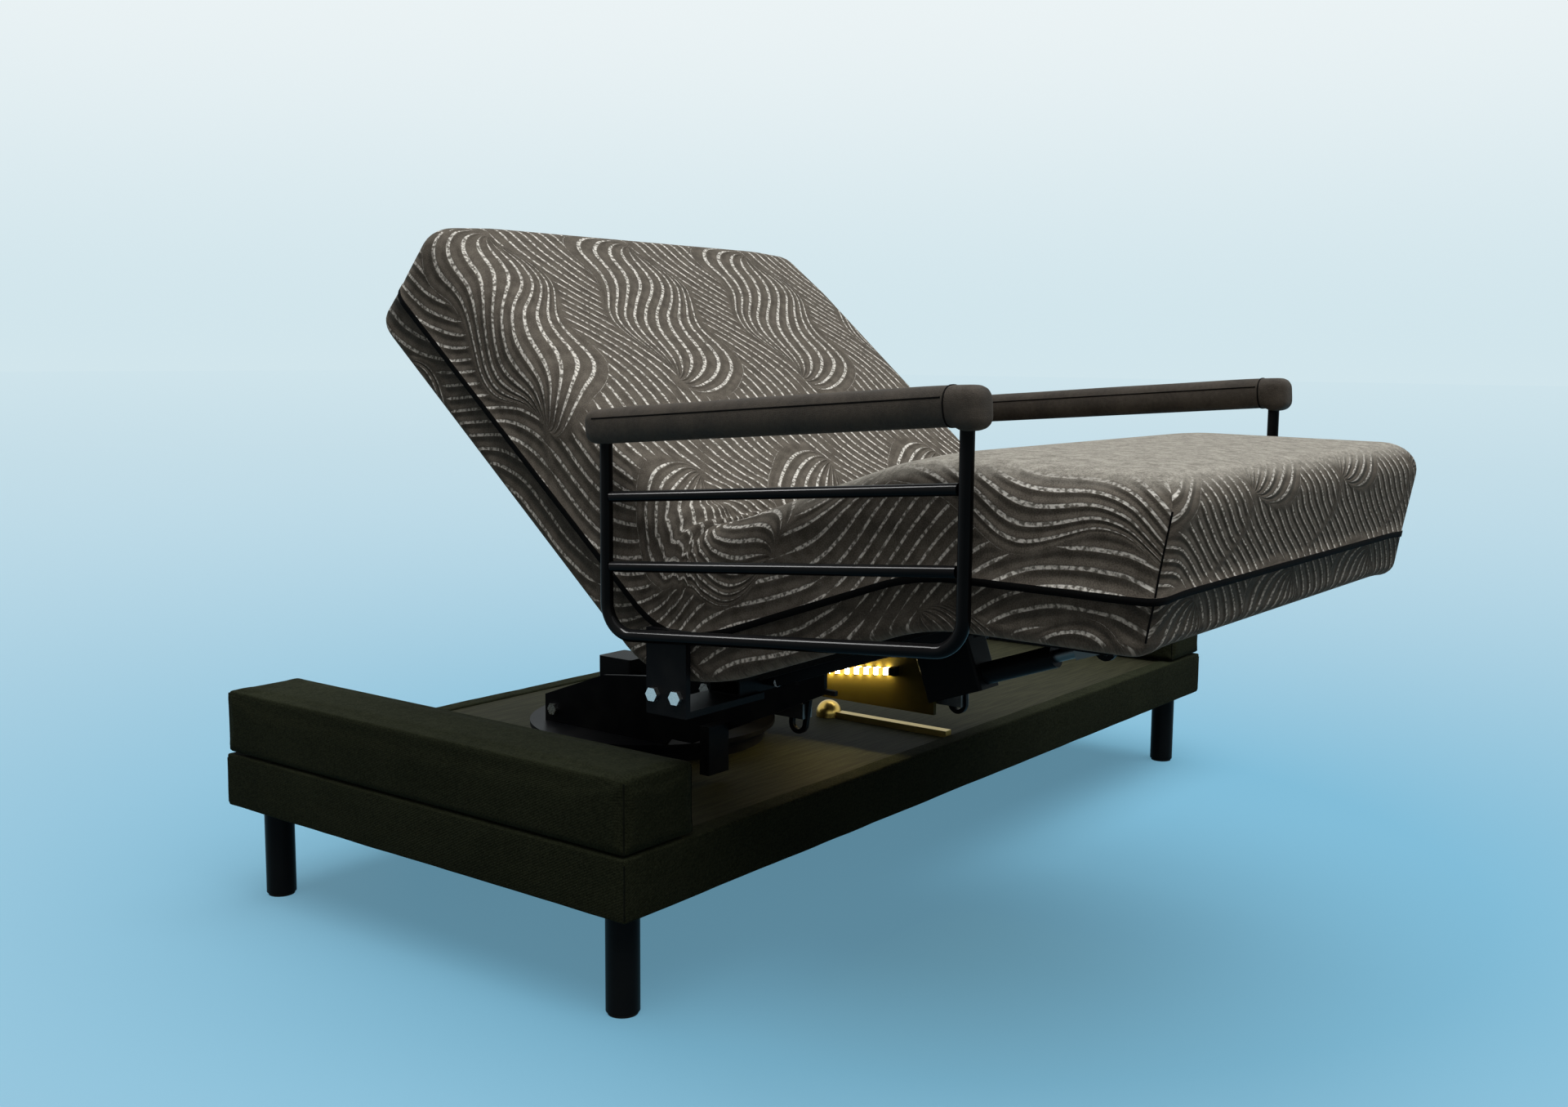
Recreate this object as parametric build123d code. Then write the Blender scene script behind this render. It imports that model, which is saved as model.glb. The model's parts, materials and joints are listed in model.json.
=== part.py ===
"""Rotating adjustable bed: an upholstered base, a swivel on it, and a four-part mattress platform above.

Millimetres, +Z up. The mattress unit is drawn flat, with the swivel axis at x = y = 0 and its foot end
towards -Y, and each section is then turned about its hinge to the half-sitting rest pose.
"""
from build123d import *
from math import cos, pi, radians, sin, tan
import os

# Upholstered base
BASE_LENGTH = 2030.0
BASE_WIDTH = 965.0
RAIL_HEIGHT = 95.0
RAIL_THICKNESS = 38.0
RAIL_ROUNDING = 6.0
DECK_DROP = 4.0
DECK_THICKNESS = 15.0
DECK_CLEARANCE = 0.5
BEAM_WIDTH = 45.0
BEAM_HEIGHT = 40.0
BEAM_COUNT = 4
BLOCK_SIZE = 70.0
BLOCK_HEIGHT = 60.0

# Legs
LEG_HEIGHT = 166.0
LEG_DIAMETER = 52.0
LEG_INSET = 62.0
GLIDE_HEIGHT = 5.0
GLIDE_INSET = 3.0
STUD_DIAMETER = 10.0
STUD_DEPTH = 40.0
STUD_CLEARANCE = 0.1

# End bolsters
BOLSTER_DEPTH = 158.0
BOLSTER_HEIGHT = 117.0
BOLSTER_CROWN = 4.0
BOLSTER_BULGE = 1.5
BOLSTER_ROUNDING = 8.0

# Control box under the deck
CONTROL_LENGTH = 220.0
CONTROL_WIDTH = 140.0
CONTROL_HEIGHT = 50.0
CONTROL_Y = 200.0
CONTROL_ROUNDING = 6.0

# Swivel
SWIVEL_X = -420.0
RING_DIAMETER = 420.0
RING_WIDTH = 40.0
RING_HEIGHT = 14.0
RING_GAP = 0.3
TURNTABLE_DIAMETER = 460.0
TURNTABLE_THICKNESS = 8.0
HUB_DIAMETER = 70.0
HUB_CLEARANCE = 0.05
HUB_RECESS = 1.0
SWIVEL_MOTOR_SIZE = (105.0, 140.0, 85.0)
SWIVEL_MOTOR_CENTRE = (87.0, -5.0)
MOTOR_ROUNDING = 5.0

# Turn stop on the deck
BUMPER_DIAMETER = 50.0
BUMPER_STEM = 7.0
BUMPER_X = 338.0
BUMPER_Y = -166.0
STOP_BAR_WIDTH = 20.0
STOP_BAR_HEIGHT = 12.0
STOP_CLEARANCE = 2.0
LUG_WIDTH = 20.0
LUG_REACH = 52.0
LUG_DROP = 33.0
LUG_LAP = 50.0

# Pedestal
PEDESTAL_SPAN = 300.0
PLATE_THICKNESS = 8.0
PEDESTAL_HEAD = 130.0
PEDESTAL_HEAD_HEIGHT = 50.0
PEDESTAL_SHOULDER = (-20.0, 105.0)
PEDESTAL_NECK_Y = -380.0
PEDESTAL_NECK_DROP = 25.0
PEDESTAL_UNDERCUT = 12.0
PEDESTAL_TOE = -530.0
NEAR_TOE_DEPTH = 8.0
NEAR_TOE_FLAT = 20.0
NEAR_TOE_RUN = 280.0
FAR_TOE_RISE = 40.0
FAR_TOE_FLAT = 265.0
FAR_TOE_RUN = 40.0
SPACER_DIAMETER = 28.0
SPACER_CLEARANCE = 2.0
HEAD_SPACER_Y = 106.0
HEAD_SPACER_RISE = 25.0
FOOT_SPACER_Y = -262.0
BOLT_DIAMETER = 12.0
BOLT_HEAD = 22.0
BOLT_HEAD_HEIGHT = 8.0
BOLT_GRIP = 30.0
BOLT_CLEARANCE = 0.1

# Platform: deck plane, hinges and sections
PLATFORM_HEIGHT = 505.0
BOARD_THICKNESS = 12.0
BOARD_WIDTH = 800.0
TUBE = 30.0
TUBE_HEIGHT = 15.0
TUBE_WALL = 2.5
FRAME_WIDTH = 740.0
HINGE_DEPTH = 22.0
BACK_HINGE_Y = -409.0
SEAT_LENGTH = 140.0
THIGH_LENGTH = 375.0
BACK_REST = 41.0
BACK_MAX = 65.0
THIGH_REST = 19.3
THIGH_MAX = 34.0
FOOT_REST = 20.0
FOOT_MAX = 35.0
SEAT_BEAM_WIDTH = 60.0
SEAT_BEAM_HEIGHT = 30.0
BOARD_HINGE_GAP = 25.0
SEAT_BOARD_GAP = 16.0
KNEE_BOARD_GAP = 15.0
FRAME_HINGE_GAP = 30.0
HEAD_BOARD_INSET = 88.0
FOOT_BOARD_INSET = 110.0
HEAD_BOARD_CORNER = 80.0
FOOT_BOARD_CORNER = 40.0
FRAME_BOARD_MARGIN = 10.0

# Hinges
PIN_DIAMETER = 12.0
PIN_CLEARANCE = 0.05
PIN_OVERHANG = 6.0
EAR_THICKNESS = 8.0
EAR_GAP = 2.0
EAR_HALF_HEIGHT = 9.5
EAR_INSET = 59.0

# Actuators with slotted levers
LEVER_THICKNESS = 8.0
LEVER_WALL = 8.0
LEVER_DROP = 111.0
FOOT_LEVER_DROP = 70.0
SLOT_CLEARANCE = 4.5
SLOT_END_MARGIN = 4.0
BACK_ACTUATOR_X = -60.0
FOOT_ACTUATOR_X = 0.0
CLEVIS_SIZE = 26.0
CLEVIS_MOUTH = 14.0
CLEVIS_SLOT_DEPTH = 36.0
CLEVIS_BACK = 12.0
CLEVIS_SIDE_GAP = 1.0
ROD_DIAMETER = 20.0
ROD_CLEARANCE = 0.05
ROD_LENGTH = 230.0
FOOT_ROD_LENGTH = 120.0
HOUSING_DIAMETER = 36.0
HOUSING_MOUTH_GAP = 20.0
HOUSING_SPARE = 15.0
GEARBOX_WIDTH = 70.0
GEARBOX_LENGTH = 80.0
GEARBOX_ABOVE = 45.0
FOOT_GEARBOX_WIDTH = 60.0
FOOT_GEARBOX_LENGTH = 105.0
FOOT_GEARBOX_BELOW = 24.0

# Mattress
MATTRESS_WIDTH = 965.0
MATTRESS_THICKNESS = 220.0
MATTRESS_CROWN = 8.0
MATTRESS_TOP_ROUNDING = 55.0
MATTRESS_FOOT_ROUNDING = 30.0
BINDING_HEIGHT = 72.0
BINDING_DRAW_IN = 4.0
BACK_LENGTH = 794.0
FOOT_LENGTH = 330.0
HIP_BACK_START = 200.0
HIP_THIGH_START = 190.0
KNEE_THIGH_END = 60.0
KNEE_FOOT_START = 60.0
HEAD_CORNER = 75.0
FOOT_CORNER = 36.0
HEAD_EDGE = 45.0
FOOT_EDGE = 45.0
SOFT_GAP = 0.3

# Side rails and armrests
HANDRAIL_OFFSET = 512.0
HANDRAIL_TUBE = 19.0
HANDRAIL_WALL = 1.5
HANDRAIL_BAR = 16.0
HANDRAIL_CORNER = 45.0
HANDRAIL_HEAD_Y = -373.0
HANDRAIL_LENGTH = 605.0
HANDRAIL_SLOPE = 0.0765
HANDRAIL_BOTTOM = 562.0
HANDRAIL_LOW_BAR = 101.0
HANDRAIL_HIGH_BAR = 203.0
HANDRAIL_BAR_GAP = 0.3
ARMREST_CENTRE = 305.0
ARMREST_WIDTH = 58.0
ARMREST_HEIGHT = 47.0
ARMREST_CROWN = 6.0
ARMREST_ROUNDING = 12.0
ARMREST_OVERHANG = 30.0
ARMREST_SOCKET = 22.0
POST_END_GAP = 1.0
BRACKET_WIDTH = 76.0
BRACKET_THICKNESS = 10.0
BRACKET_LAP = 50.0
BRACKET_BOLT_PITCH = 44.0

# Light strip
LIGHT_START = -286.0
LIGHT_LENGTH = 156.0
LIGHT_WIDTH = 10.0
LIGHT_HEIGHT = 12.0
LIGHT_BELOW_EDGE = 31.0
CLIP_LENGTH = 14.0
CLIP_MARGIN = 3.0

# Values worked out from the sizes above
RAIL_TOP = LEG_HEIGHT + RAIL_HEIGHT
DECK_TOP = RAIL_TOP - DECK_DROP
DECK_BOTTOM = DECK_TOP - DECK_THICKNESS
RING_TOP = DECK_TOP + 2 * RING_HEIGHT + RING_GAP
TABLE_TOP = RING_TOP + TURNTABLE_THICKNESS
BOARD_BOTTOM = PLATFORM_HEIGHT - BOARD_THICKNESS
FRAME_BOTTOM = BOARD_BOTTOM - TUBE_HEIGHT
BEAM_BOTTOM = BOARD_BOTTOM - SEAT_BEAM_HEIGHT
EAR_OFFSET = FRAME_WIDTH / 2 - EAR_INSET
HINGE_Z = PLATFORM_HEIGHT - HINGE_DEPTH
THIGH_HINGE_Y = BACK_HINGE_Y - SEAT_LENGTH
KNEE_HINGE_Y = THIGH_HINGE_Y - THIGH_LENGTH
SEAT_CENTRE_Y = (BACK_HINGE_Y + THIGH_HINGE_Y) / 2
BACK_FOLD = HINGE_DEPTH * tan(radians(BACK_REST) / 2)
THIGH_FOLD = HINGE_DEPTH * tan(radians(THIGH_REST) / 2)
HEAD_END = BACK_HINGE_Y + BACK_FOLD + BACK_LENGTH
FOOT_END = KNEE_HINGE_Y - FOOT_LENGTH
ACTUATOR_Z = HINGE_Z - LEVER_DROP
THIGH_ACTUATOR_X = (PEDESTAL_SPAN + PLATE_THICKNESS + GEARBOX_WIDTH) / 2
FOOT_ACTUATOR_Z = HINGE_Z - FOOT_LEVER_DROP
PEDESTAL_NECK_Z = BEAM_BOTTOM - PEDESTAL_NECK_DROP
NEAR_TOE_Z = PEDESTAL_NECK_Z - NEAR_TOE_DEPTH
FAR_TOE_Z = TABLE_TOP + PEDESTAL_UNDERCUT + FAR_TOE_RISE
FOOT_SPACER_Z = ACTUATOR_Z + (HOUSING_DIAMETER + SPACER_DIAMETER) / 2 + SPACER_CLEARANCE
SPACERS = ((HEAD_SPACER_Y, TABLE_TOP + HEAD_SPACER_RISE), (FOOT_SPACER_Y, FOOT_SPACER_Z))
BACK_AXIS = Axis((0, BACK_HINGE_Y, HINGE_Z), (1, 0, 0))
THIGH_AXIS = Axis((0, THIGH_HINGE_Y, HINGE_Z), (1, 0, 0))
KNEE_AXIS = Axis((0, KNEE_HINGE_Y, HINGE_Z), (1, 0, 0))


def block(x0, x1, y0, y1, z0, z1):
    """A box between two corners."""
    return Pos(x0, y0, z0) * Box(x1 - x0, y1 - y0, z1 - z0, align=(Align.MIN, Align.MIN, Align.MIN))


def rod_x(x0, x1, y, z, diameter):
    """A round bar along X."""
    bar = Cylinder(diameter / 2, x1 - x0, align=(Align.CENTER, Align.CENTER, Align.MIN))
    return Pos(x0, y, z) * Rot(0, 90, 0) * bar


def rod_y(x, y0, y1, z, diameter):
    """A round bar along Y."""
    bar = Cylinder(diameter / 2, y1 - y0, align=(Align.CENTER, Align.CENTER, Align.MIN))
    return Pos(x, y1, z) * Rot(90, 0, 0) * bar


def rod_z(x, y, z0, z1, diameter):
    """A round bar along Z."""
    bar = Cylinder(diameter / 2, z1 - z0, align=(Align.CENTER, Align.CENTER, Align.MIN))
    return Pos(x, y, z0) * bar


def plate_yz(points, x0, x1):
    """A flat plate with an outline in the YZ plane, from x0 to x1."""
    outline = Polyline(*[(x0, y, z) for y, z in points], close=True)
    return extrude(make_face(outline), amount=x1 - x0, dir=(1, 0, 0))


def on_back(shape):
    return shape.rotate(BACK_AXIS, BACK_REST)


def on_thigh(shape):
    return shape.rotate(THIGH_AXIS, -THIGH_REST)


def on_foot(shape):
    return on_thigh(shape.rotate(KNEE_AXIS, FOOT_REST))


def corners(inset):
    """The four corners of the base, moved inwards."""
    x = BASE_LENGTH / 2 - inset
    y = BASE_WIDTH / 2 - inset
    return [(i * x, j * y) for j in (-1, 1) for i in (-1, 1)]


# Base

def side_rail(side):
    y_out = side * BASE_WIDTH / 2
    y_in = y_out - side * RAIL_THICKNESS
    rail = block(-BASE_LENGTH / 2, BASE_LENGTH / 2, min(y_out, y_in), max(y_out, y_in), LEG_HEIGHT, RAIL_TOP)
    outer = rail.faces().sort_by(Axis.Y)[-1 if side > 0 else 0]
    return fillet(outer.edges(), RAIL_ROUNDING)


def end_rail(side):
    x_out = side * BASE_LENGTH / 2
    x_in = x_out - side * RAIL_THICKNESS
    y = BASE_WIDTH / 2 - RAIL_THICKNESS
    rail = block(min(x_out, x_in), max(x_out, x_in), -y, y, LEG_HEIGHT, RAIL_TOP)
    outer = rail.faces().sort_by(Axis.X)[-1 if side > 0 else 0]
    return fillet(outer.edges().filter_by(Axis.Y), RAIL_ROUNDING)


def deck_panel():
    x = BASE_LENGTH / 2 - RAIL_THICKNESS - DECK_CLEARANCE
    y = BASE_WIDTH / 2 - RAIL_THICKNESS - DECK_CLEARANCE
    return block(-x, x, -y, y, DECK_BOTTOM, DECK_TOP)


def beam_centres():
    pitch = (BASE_LENGTH - 2 * RAIL_THICKNESS) / (BEAM_COUNT + 1)
    return [pitch * (index - (BEAM_COUNT - 1) / 2) for index in range(BEAM_COUNT)]


def deck_beams():
    y = BASE_WIDTH / 2 - RAIL_THICKNESS
    half = BEAM_WIDTH / 2
    low = DECK_BOTTOM - BEAM_HEIGHT
    return [block(x - half, x + half, -y, y, low, DECK_BOTTOM) for x in beam_centres()]


def corner_blocks():
    blocks = []
    for x, y in corners(RAIL_THICKNESS):
        sx = 1 if x > 0 else -1
        sy = 1 if y > 0 else -1
        x2 = x - sx * BLOCK_SIZE
        y2 = y - sy * BLOCK_SIZE
        body = block(min(x, x2), max(x, x2), min(y, y2), max(y, y2), LEG_HEIGHT, LEG_HEIGHT + BLOCK_HEIGHT)
        blocks.append(body)
    holes = [rod_z(x, y, LEG_HEIGHT, LEG_HEIGHT + STUD_DEPTH, STUD_DIAMETER + 2 * STUD_CLEARANCE)
             for x, y in corners(LEG_INSET)]
    return [body - hole for body, hole in zip(blocks, holes)]


def leg(x, y):
    body = rod_z(x, y, GLIDE_HEIGHT, LEG_HEIGHT, LEG_DIAMETER)
    hole = rod_z(x, y, LEG_HEIGHT - STUD_DEPTH, LEG_HEIGHT, STUD_DIAMETER + 2 * STUD_CLEARANCE)
    return body - hole


def bolster(side):
    """An upholstered block across the base, with a crowned top and slightly bulging sides."""
    half = BOLSTER_DEPTH / 2 - BOLSTER_BULGE
    shoulder = BOLSTER_HEIGHT - BOLSTER_CROWN
    middle = shoulder / 2
    bottom = Line((-half, 0), (half, 0))
    right = ThreePointArc((half, 0), (half + BOLSTER_BULGE, middle), (half, shoulder))
    top = ThreePointArc((half, shoulder), (0, BOLSTER_HEIGHT), (-half, shoulder))
    left = ThreePointArc((-half, shoulder), (-half - BOLSTER_BULGE, middle), (-half, 0))
    section = make_face([bottom, right, top, left])
    section = fillet(section.vertices().sort_by(Axis.Y)[2:], BOLSTER_ROUNDING)
    x = side * (BASE_LENGTH - BOLSTER_DEPTH) / 2
    plane = Plane(origin=(x, BASE_WIDTH / 2, RAIL_TOP), x_dir=(1, 0, 0), z_dir=(0, -1, 0))
    return extrude(plane * section, amount=BASE_WIDTH)


def control_box():
    """The electronics, hung under the deck between the last two beams."""
    x = sum(beam_centres()[-2:]) / 2
    body = block(x - CONTROL_LENGTH / 2, x + CONTROL_LENGTH / 2, CONTROL_Y - CONTROL_WIDTH / 2,
                 CONTROL_Y + CONTROL_WIDTH / 2, DECK_BOTTOM - CONTROL_HEIGHT, DECK_BOTTOM)
    return fillet(body.edges().filter_by(Axis.Z), CONTROL_ROUNDING)


# Swivel and turn stop

def swivel_ring(bottom):
    outer = rod_z(0, 0, bottom, bottom + RING_HEIGHT, RING_DIAMETER)
    return outer - rod_z(0, 0, bottom, bottom + RING_HEIGHT, RING_DIAMETER - 2 * RING_WIDTH)


def turntable_plate():
    plate = rod_z(0, 0, RING_TOP, TABLE_TOP, TURNTABLE_DIAMETER)
    return plate - rod_z(0, 0, RING_TOP, TABLE_TOP, HUB_DIAMETER + 2 * HUB_CLEARANCE)


def turn_stop_bumper():
    radius = BUMPER_DIAMETER / 2
    stem = rod_z(BUMPER_X, BUMPER_Y, DECK_TOP, DECK_TOP + BUMPER_STEM, BUMPER_DIAMETER)
    half_ball = Sphere(radius, arc_size1=0, align=(Align.CENTER, Align.CENTER, Align.MIN))
    dome = Pos(BUMPER_X, BUMPER_Y, DECK_TOP + BUMPER_STEM) * half_ball
    return stem + dome


def turn_stop_bar():
    start = BUMPER_Y - BUMPER_DIAMETER / 2 - SOFT_GAP
    end = -BASE_WIDTH / 2 + RAIL_THICKNESS
    half = STOP_BAR_WIDTH / 2
    return block(BUMPER_X - half, BUMPER_X + half, end, start, DECK_TOP, DECK_TOP + STOP_BAR_HEIGHT)


def stop_lug():
    """The lug on the near pedestal plate whose leading face meets the bumper after a quarter turn."""
    lead = -(BUMPER_X - BUMPER_DIAMETER / 2 - STOP_CLEARANCE)
    x_plate = -PEDESTAL_SPAN / 2 - PLATE_THICKNESS / 2
    z = TABLE_TOP + PEDESTAL_UNDERCUT
    return block(x_plate - LUG_REACH, x_plate, lead, lead + LUG_WIDTH, z - LUG_DROP, z + LUG_LAP)


# Pedestal

def pedestal_outline(toe_z, toe_flat, toe_run):
    beam_head = SEAT_CENTRE_Y + SEAT_BEAM_WIDTH / 2
    beam_foot = SEAT_CENTRE_Y - SEAT_BEAM_WIDTH / 2
    foot = -((TURNTABLE_DIAMETER / 2) ** 2 - (PEDESTAL_SPAN / 2 + PLATE_THICKNESS) ** 2) ** 0.5
    low = TABLE_TOP + PEDESTAL_UNDERCUT
    return [
        (PEDESTAL_HEAD, TABLE_TOP),
        (PEDESTAL_HEAD, TABLE_TOP + PEDESTAL_HEAD_HEIGHT),
        (PEDESTAL_SHOULDER[0], TABLE_TOP + PEDESTAL_SHOULDER[1]),
        (PEDESTAL_NECK_Y, PEDESTAL_NECK_Z),
        (beam_head, PEDESTAL_NECK_Z),
        (beam_head, BEAM_BOTTOM),
        (beam_foot, BEAM_BOTTOM),
        (beam_foot, PEDESTAL_NECK_Z),
        (PEDESTAL_TOE, PEDESTAL_NECK_Z),
        (PEDESTAL_TOE, toe_z),
        (PEDESTAL_TOE + toe_flat, toe_z),
        (PEDESTAL_TOE + toe_flat + toe_run, low),
        (foot - PEDESTAL_UNDERCUT, low),
        (foot, TABLE_TOP),
    ]


def pedestal_plate(side, toe_z, toe_flat, toe_run):
    x = side * PEDESTAL_SPAN / 2
    x0 = x - PLATE_THICKNESS / 2
    x1 = x + PLATE_THICKNESS / 2
    plate = plate_yz(pedestal_outline(toe_z, toe_flat, toe_run), x0, x1)
    for y, z in SPACERS:
        plate -= rod_x(x0, x1, y, z, BOLT_DIAMETER + 2 * BOLT_CLEARANCE)
    return plate


def pedestal_spacers():
    half = (PEDESTAL_SPAN - PLATE_THICKNESS) / 2
    bars = []
    for y, z in SPACERS:
        bar = rod_x(-half, half, y, z, SPACER_DIAMETER)
        bars.append(bar - rod_x(-half, half, y, z, BOLT_DIAMETER + 2 * BOLT_CLEARANCE))
    return bars


def hex_bolt(x, y, z, side, grip):
    """A hexagon bolt along X, with its head on the outer side."""
    head_end = x + side * BOLT_HEAD_HEIGHT
    tip = x - side * grip
    plane = Plane(origin=(x, y, z), x_dir=(0, 1, 0), z_dir=(side, 0, 0))
    head = extrude(plane * RegularPolygon(BOLT_HEAD / 2, 6), amount=abs(head_end - x))
    return head + rod_x(min(x, tip), max(x, tip), y, z, BOLT_DIAMETER)


def pedestal_bolts():
    face = (PEDESTAL_SPAN + PLATE_THICKNESS) / 2
    bolts = []
    for side in (-1, 1):
        for y, z in SPACERS:
            bolts.append(hex_bolt(side * face, y, z, side, BOLT_GRIP))
    return bolts


def swivel_motor():
    width, length, height = SWIVEL_MOTOR_SIZE
    x, y = SWIVEL_MOTOR_CENTRE
    body = block(x - width / 2, x + width / 2, y - length / 2, y + length / 2, TABLE_TOP, TABLE_TOP + height)
    return fillet(body.edges().filter_by(Axis.Z) + body.faces().sort_by(Axis.Z)[-1].edges(), MOTOR_ROUNDING)


# Seat and hinges

def seat_beam():
    half = SEAT_BEAM_WIDTH / 2
    wide = FRAME_WIDTH / 2
    outer = block(-wide, wide, SEAT_CENTRE_Y - half, SEAT_CENTRE_Y + half, BEAM_BOTTOM, BOARD_BOTTOM)
    inner = block(-wide, wide, SEAT_CENTRE_Y - half + TUBE_WALL, SEAT_CENTRE_Y + half - TUBE_WALL,
                  BEAM_BOTTOM + TUBE_WALL, BOARD_BOTTOM - TUBE_WALL)
    return outer - inner


def seat_deck():
    wide = BOARD_WIDTH / 2
    foot = THIGH_HINGE_Y + SEAT_BOARD_GAP
    head = BACK_HINGE_Y - SEAT_BOARD_GAP
    return block(-wide, wide, foot, head, BOARD_BOTTOM, PLATFORM_HEIGHT)


def hinge_tab(x, hinge_y, root_y):
    """A round-ended tab from root_y to the hinge, with the pin's running bore."""
    low, high = min(hinge_y, root_y), max(hinge_y, root_y)
    bar = block(x, x + EAR_THICKNESS, low, high, HINGE_Z - EAR_HALF_HEIGHT, HINGE_Z + EAR_HALF_HEIGHT)
    eye = rod_x(x, x + EAR_THICKNESS, hinge_y, HINGE_Z, 2 * EAR_HALF_HEIGHT)
    return bar + eye - rod_x(x, x + EAR_THICKNESS, hinge_y, HINGE_Z, PIN_DIAMETER + 2 * PIN_CLEARANCE)


def ear_x(side):
    return side * EAR_OFFSET - EAR_THICKNESS / 2


def lug_x(side):
    return ear_x(side) + side * (EAR_THICKNESS + EAR_GAP)


def hinge_ears():
    beam_head = SEAT_CENTRE_Y + SEAT_BEAM_WIDTH / 2
    beam_foot = SEAT_CENTRE_Y - SEAT_BEAM_WIDTH / 2
    ears = []
    for side in (-1, 1):
        ears.append(hinge_tab(ear_x(side), BACK_HINGE_Y, beam_head))
        ears.append(hinge_tab(ear_x(side), THIGH_HINGE_Y, beam_foot))
    return ears


def hinge_pin(side, hinge_y):
    inner = EAR_OFFSET - EAR_THICKNESS / 2 - PIN_OVERHANG
    outer = EAR_OFFSET + EAR_THICKNESS / 2 + EAR_GAP + EAR_THICKNESS + PIN_OVERHANG
    x0, x1 = sorted((side * inner, side * outer))
    return rod_x(x0, x1, hinge_y, HINGE_Z, PIN_DIAMETER)


# Section frames and levers

def lever(x, hinge_y, root_side, slot_angle, half_travel, drop):
    """A slotted lever under a hinge, drawn flat. slot_angle is from straight down towards +Y, in degrees."""
    direction = Vector(0, sin(radians(slot_angle)), -cos(radians(slot_angle)))
    across = Vector(0, cos(radians(slot_angle)), sin(radians(slot_angle)))
    slot_half = PIN_DIAMETER / 2 + SLOT_CLEARANCE
    half = slot_half + LEVER_WALL
    near = drop - SLOT_END_MARGIN
    far = drop / cos(radians(half_travel)) + SLOT_END_MARGIN
    hinge = Vector(0, hinge_y, HINGE_Z)
    root_near = Vector(0, hinge_y + root_side * FRAME_HINGE_GAP, FRAME_BOTTOM)
    root_far = Vector(0, hinge_y + root_side * (FRAME_HINGE_GAP + TUBE), FRAME_BOTTOM)
    root_side_corner = hinge + direction * (near - half) + across * (root_side * half)
    other_corner = hinge + direction * (near - half) - across * (root_side * half)
    end_root = hinge + direction * far + across * (root_side * half)
    end_other = hinge + direction * far - across * (root_side * half)
    outline = [root_near, root_far, root_side_corner, end_root, end_other, other_corner]
    arm = plate_yz([(p.Y, p.Z) for p in outline], x - LEVER_THICKNESS / 2, x + LEVER_THICKNESS / 2)
    tip = hinge + direction * far
    arm += rod_x(x - LEVER_THICKNESS / 2, x + LEVER_THICKNESS / 2, tip.Y, tip.Z, 2 * half)
    slot_ends = [hinge + direction * near, tip]
    for end in slot_ends:
        arm -= rod_x(x - LEVER_THICKNESS, x + LEVER_THICKNESS, end.Y, end.Z, 2 * slot_half)
    slot = [slot_ends[0] + across * slot_half, slot_ends[0] - across * slot_half,
            slot_ends[1] - across * slot_half, slot_ends[1] + across * slot_half]
    return arm - plate_yz([(p.Y, p.Z) for p in slot], x - LEVER_THICKNESS, x + LEVER_THICKNESS)


def ladder_frame(y_ends, cross_y):
    """Two side tubes and cross tubes of flat section, welded into one frame."""
    y0, y1 = min(y_ends), max(y_ends)
    wide = FRAME_WIDTH / 2
    inner = wide - TUBE / 2
    core_half = TUBE / 2 - TUBE_WALL
    core_low = FRAME_BOTTOM + TUBE_WALL
    core_high = BOARD_BOTTOM - TUBE_WALL
    pieces = []
    cores = []
    for x in (-inner, inner):
        pieces.append(block(x - TUBE / 2, x + TUBE / 2, y0, y1, FRAME_BOTTOM, BOARD_BOTTOM))
        cores.append(block(x - core_half, x + core_half, y0, y1, core_low, core_high))
    for y in cross_y:
        pieces.append(block(-inner, inner, y - TUBE / 2, y + TUBE / 2, FRAME_BOTTOM, BOARD_BOTTOM))
        cores.append(block(-inner, inner, y - core_half, y + core_half, core_low, core_high))
    frame = pieces[0].fuse(*pieces[1:])
    return frame.cut(*cores)


def hinge_lugs(hinge_y, root_side):
    root = hinge_y + root_side * FRAME_HINGE_GAP
    return [hinge_tab(lug_x(side), hinge_y, root) for side in (-1, 1)]


BACK_TUBE_END = HEAD_END - HEAD_BOARD_INSET - FRAME_BOARD_MARGIN
FOOT_TUBE_END = FOOT_END + FOOT_BOARD_INSET + FRAME_BOARD_MARGIN


def back_frame():
    first = BACK_HINGE_Y + FRAME_HINGE_GAP
    last = BACK_TUBE_END
    crosses = [first + TUBE / 2, (first + last) / 2, last - TUBE / 2]
    frame = ladder_frame((first, last), crosses)
    arm = lever(BACK_ACTUATOR_X, BACK_HINGE_Y, 1, -BACK_MAX / 2, BACK_MAX / 2, LEVER_DROP)
    return frame.fuse(arm, *hinge_lugs(BACK_HINGE_Y, 1))


def thigh_frame():
    first = THIGH_HINGE_Y - FRAME_HINGE_GAP
    last = KNEE_HINGE_Y + FRAME_HINGE_GAP
    crosses = [first - TUBE / 2, (first + last) / 2, last + TUBE / 2]
    frame = ladder_frame((first, last), crosses)
    arm = lever(THIGH_ACTUATOR_X, THIGH_HINGE_Y, -1, THIGH_MAX / 2, THIGH_MAX / 2, LEVER_DROP)
    ears = [hinge_tab(ear_x(side), KNEE_HINGE_Y, last) for side in (-1, 1)]
    return frame.fuse(arm, *hinge_lugs(THIGH_HINGE_Y, -1), *ears)


def foot_frame():
    first = KNEE_HINGE_Y - FRAME_HINGE_GAP
    last = FOOT_TUBE_END
    frame = ladder_frame((first, last), [first - TUBE / 2, last + TUBE / 2])
    arm = lever(FOOT_ACTUATOR_X, KNEE_HINGE_Y, -1, -FOOT_MAX / 2, FOOT_MAX / 2, FOOT_LEVER_DROP)
    return frame.fuse(arm, *hinge_lugs(KNEE_HINGE_Y, -1))


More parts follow.
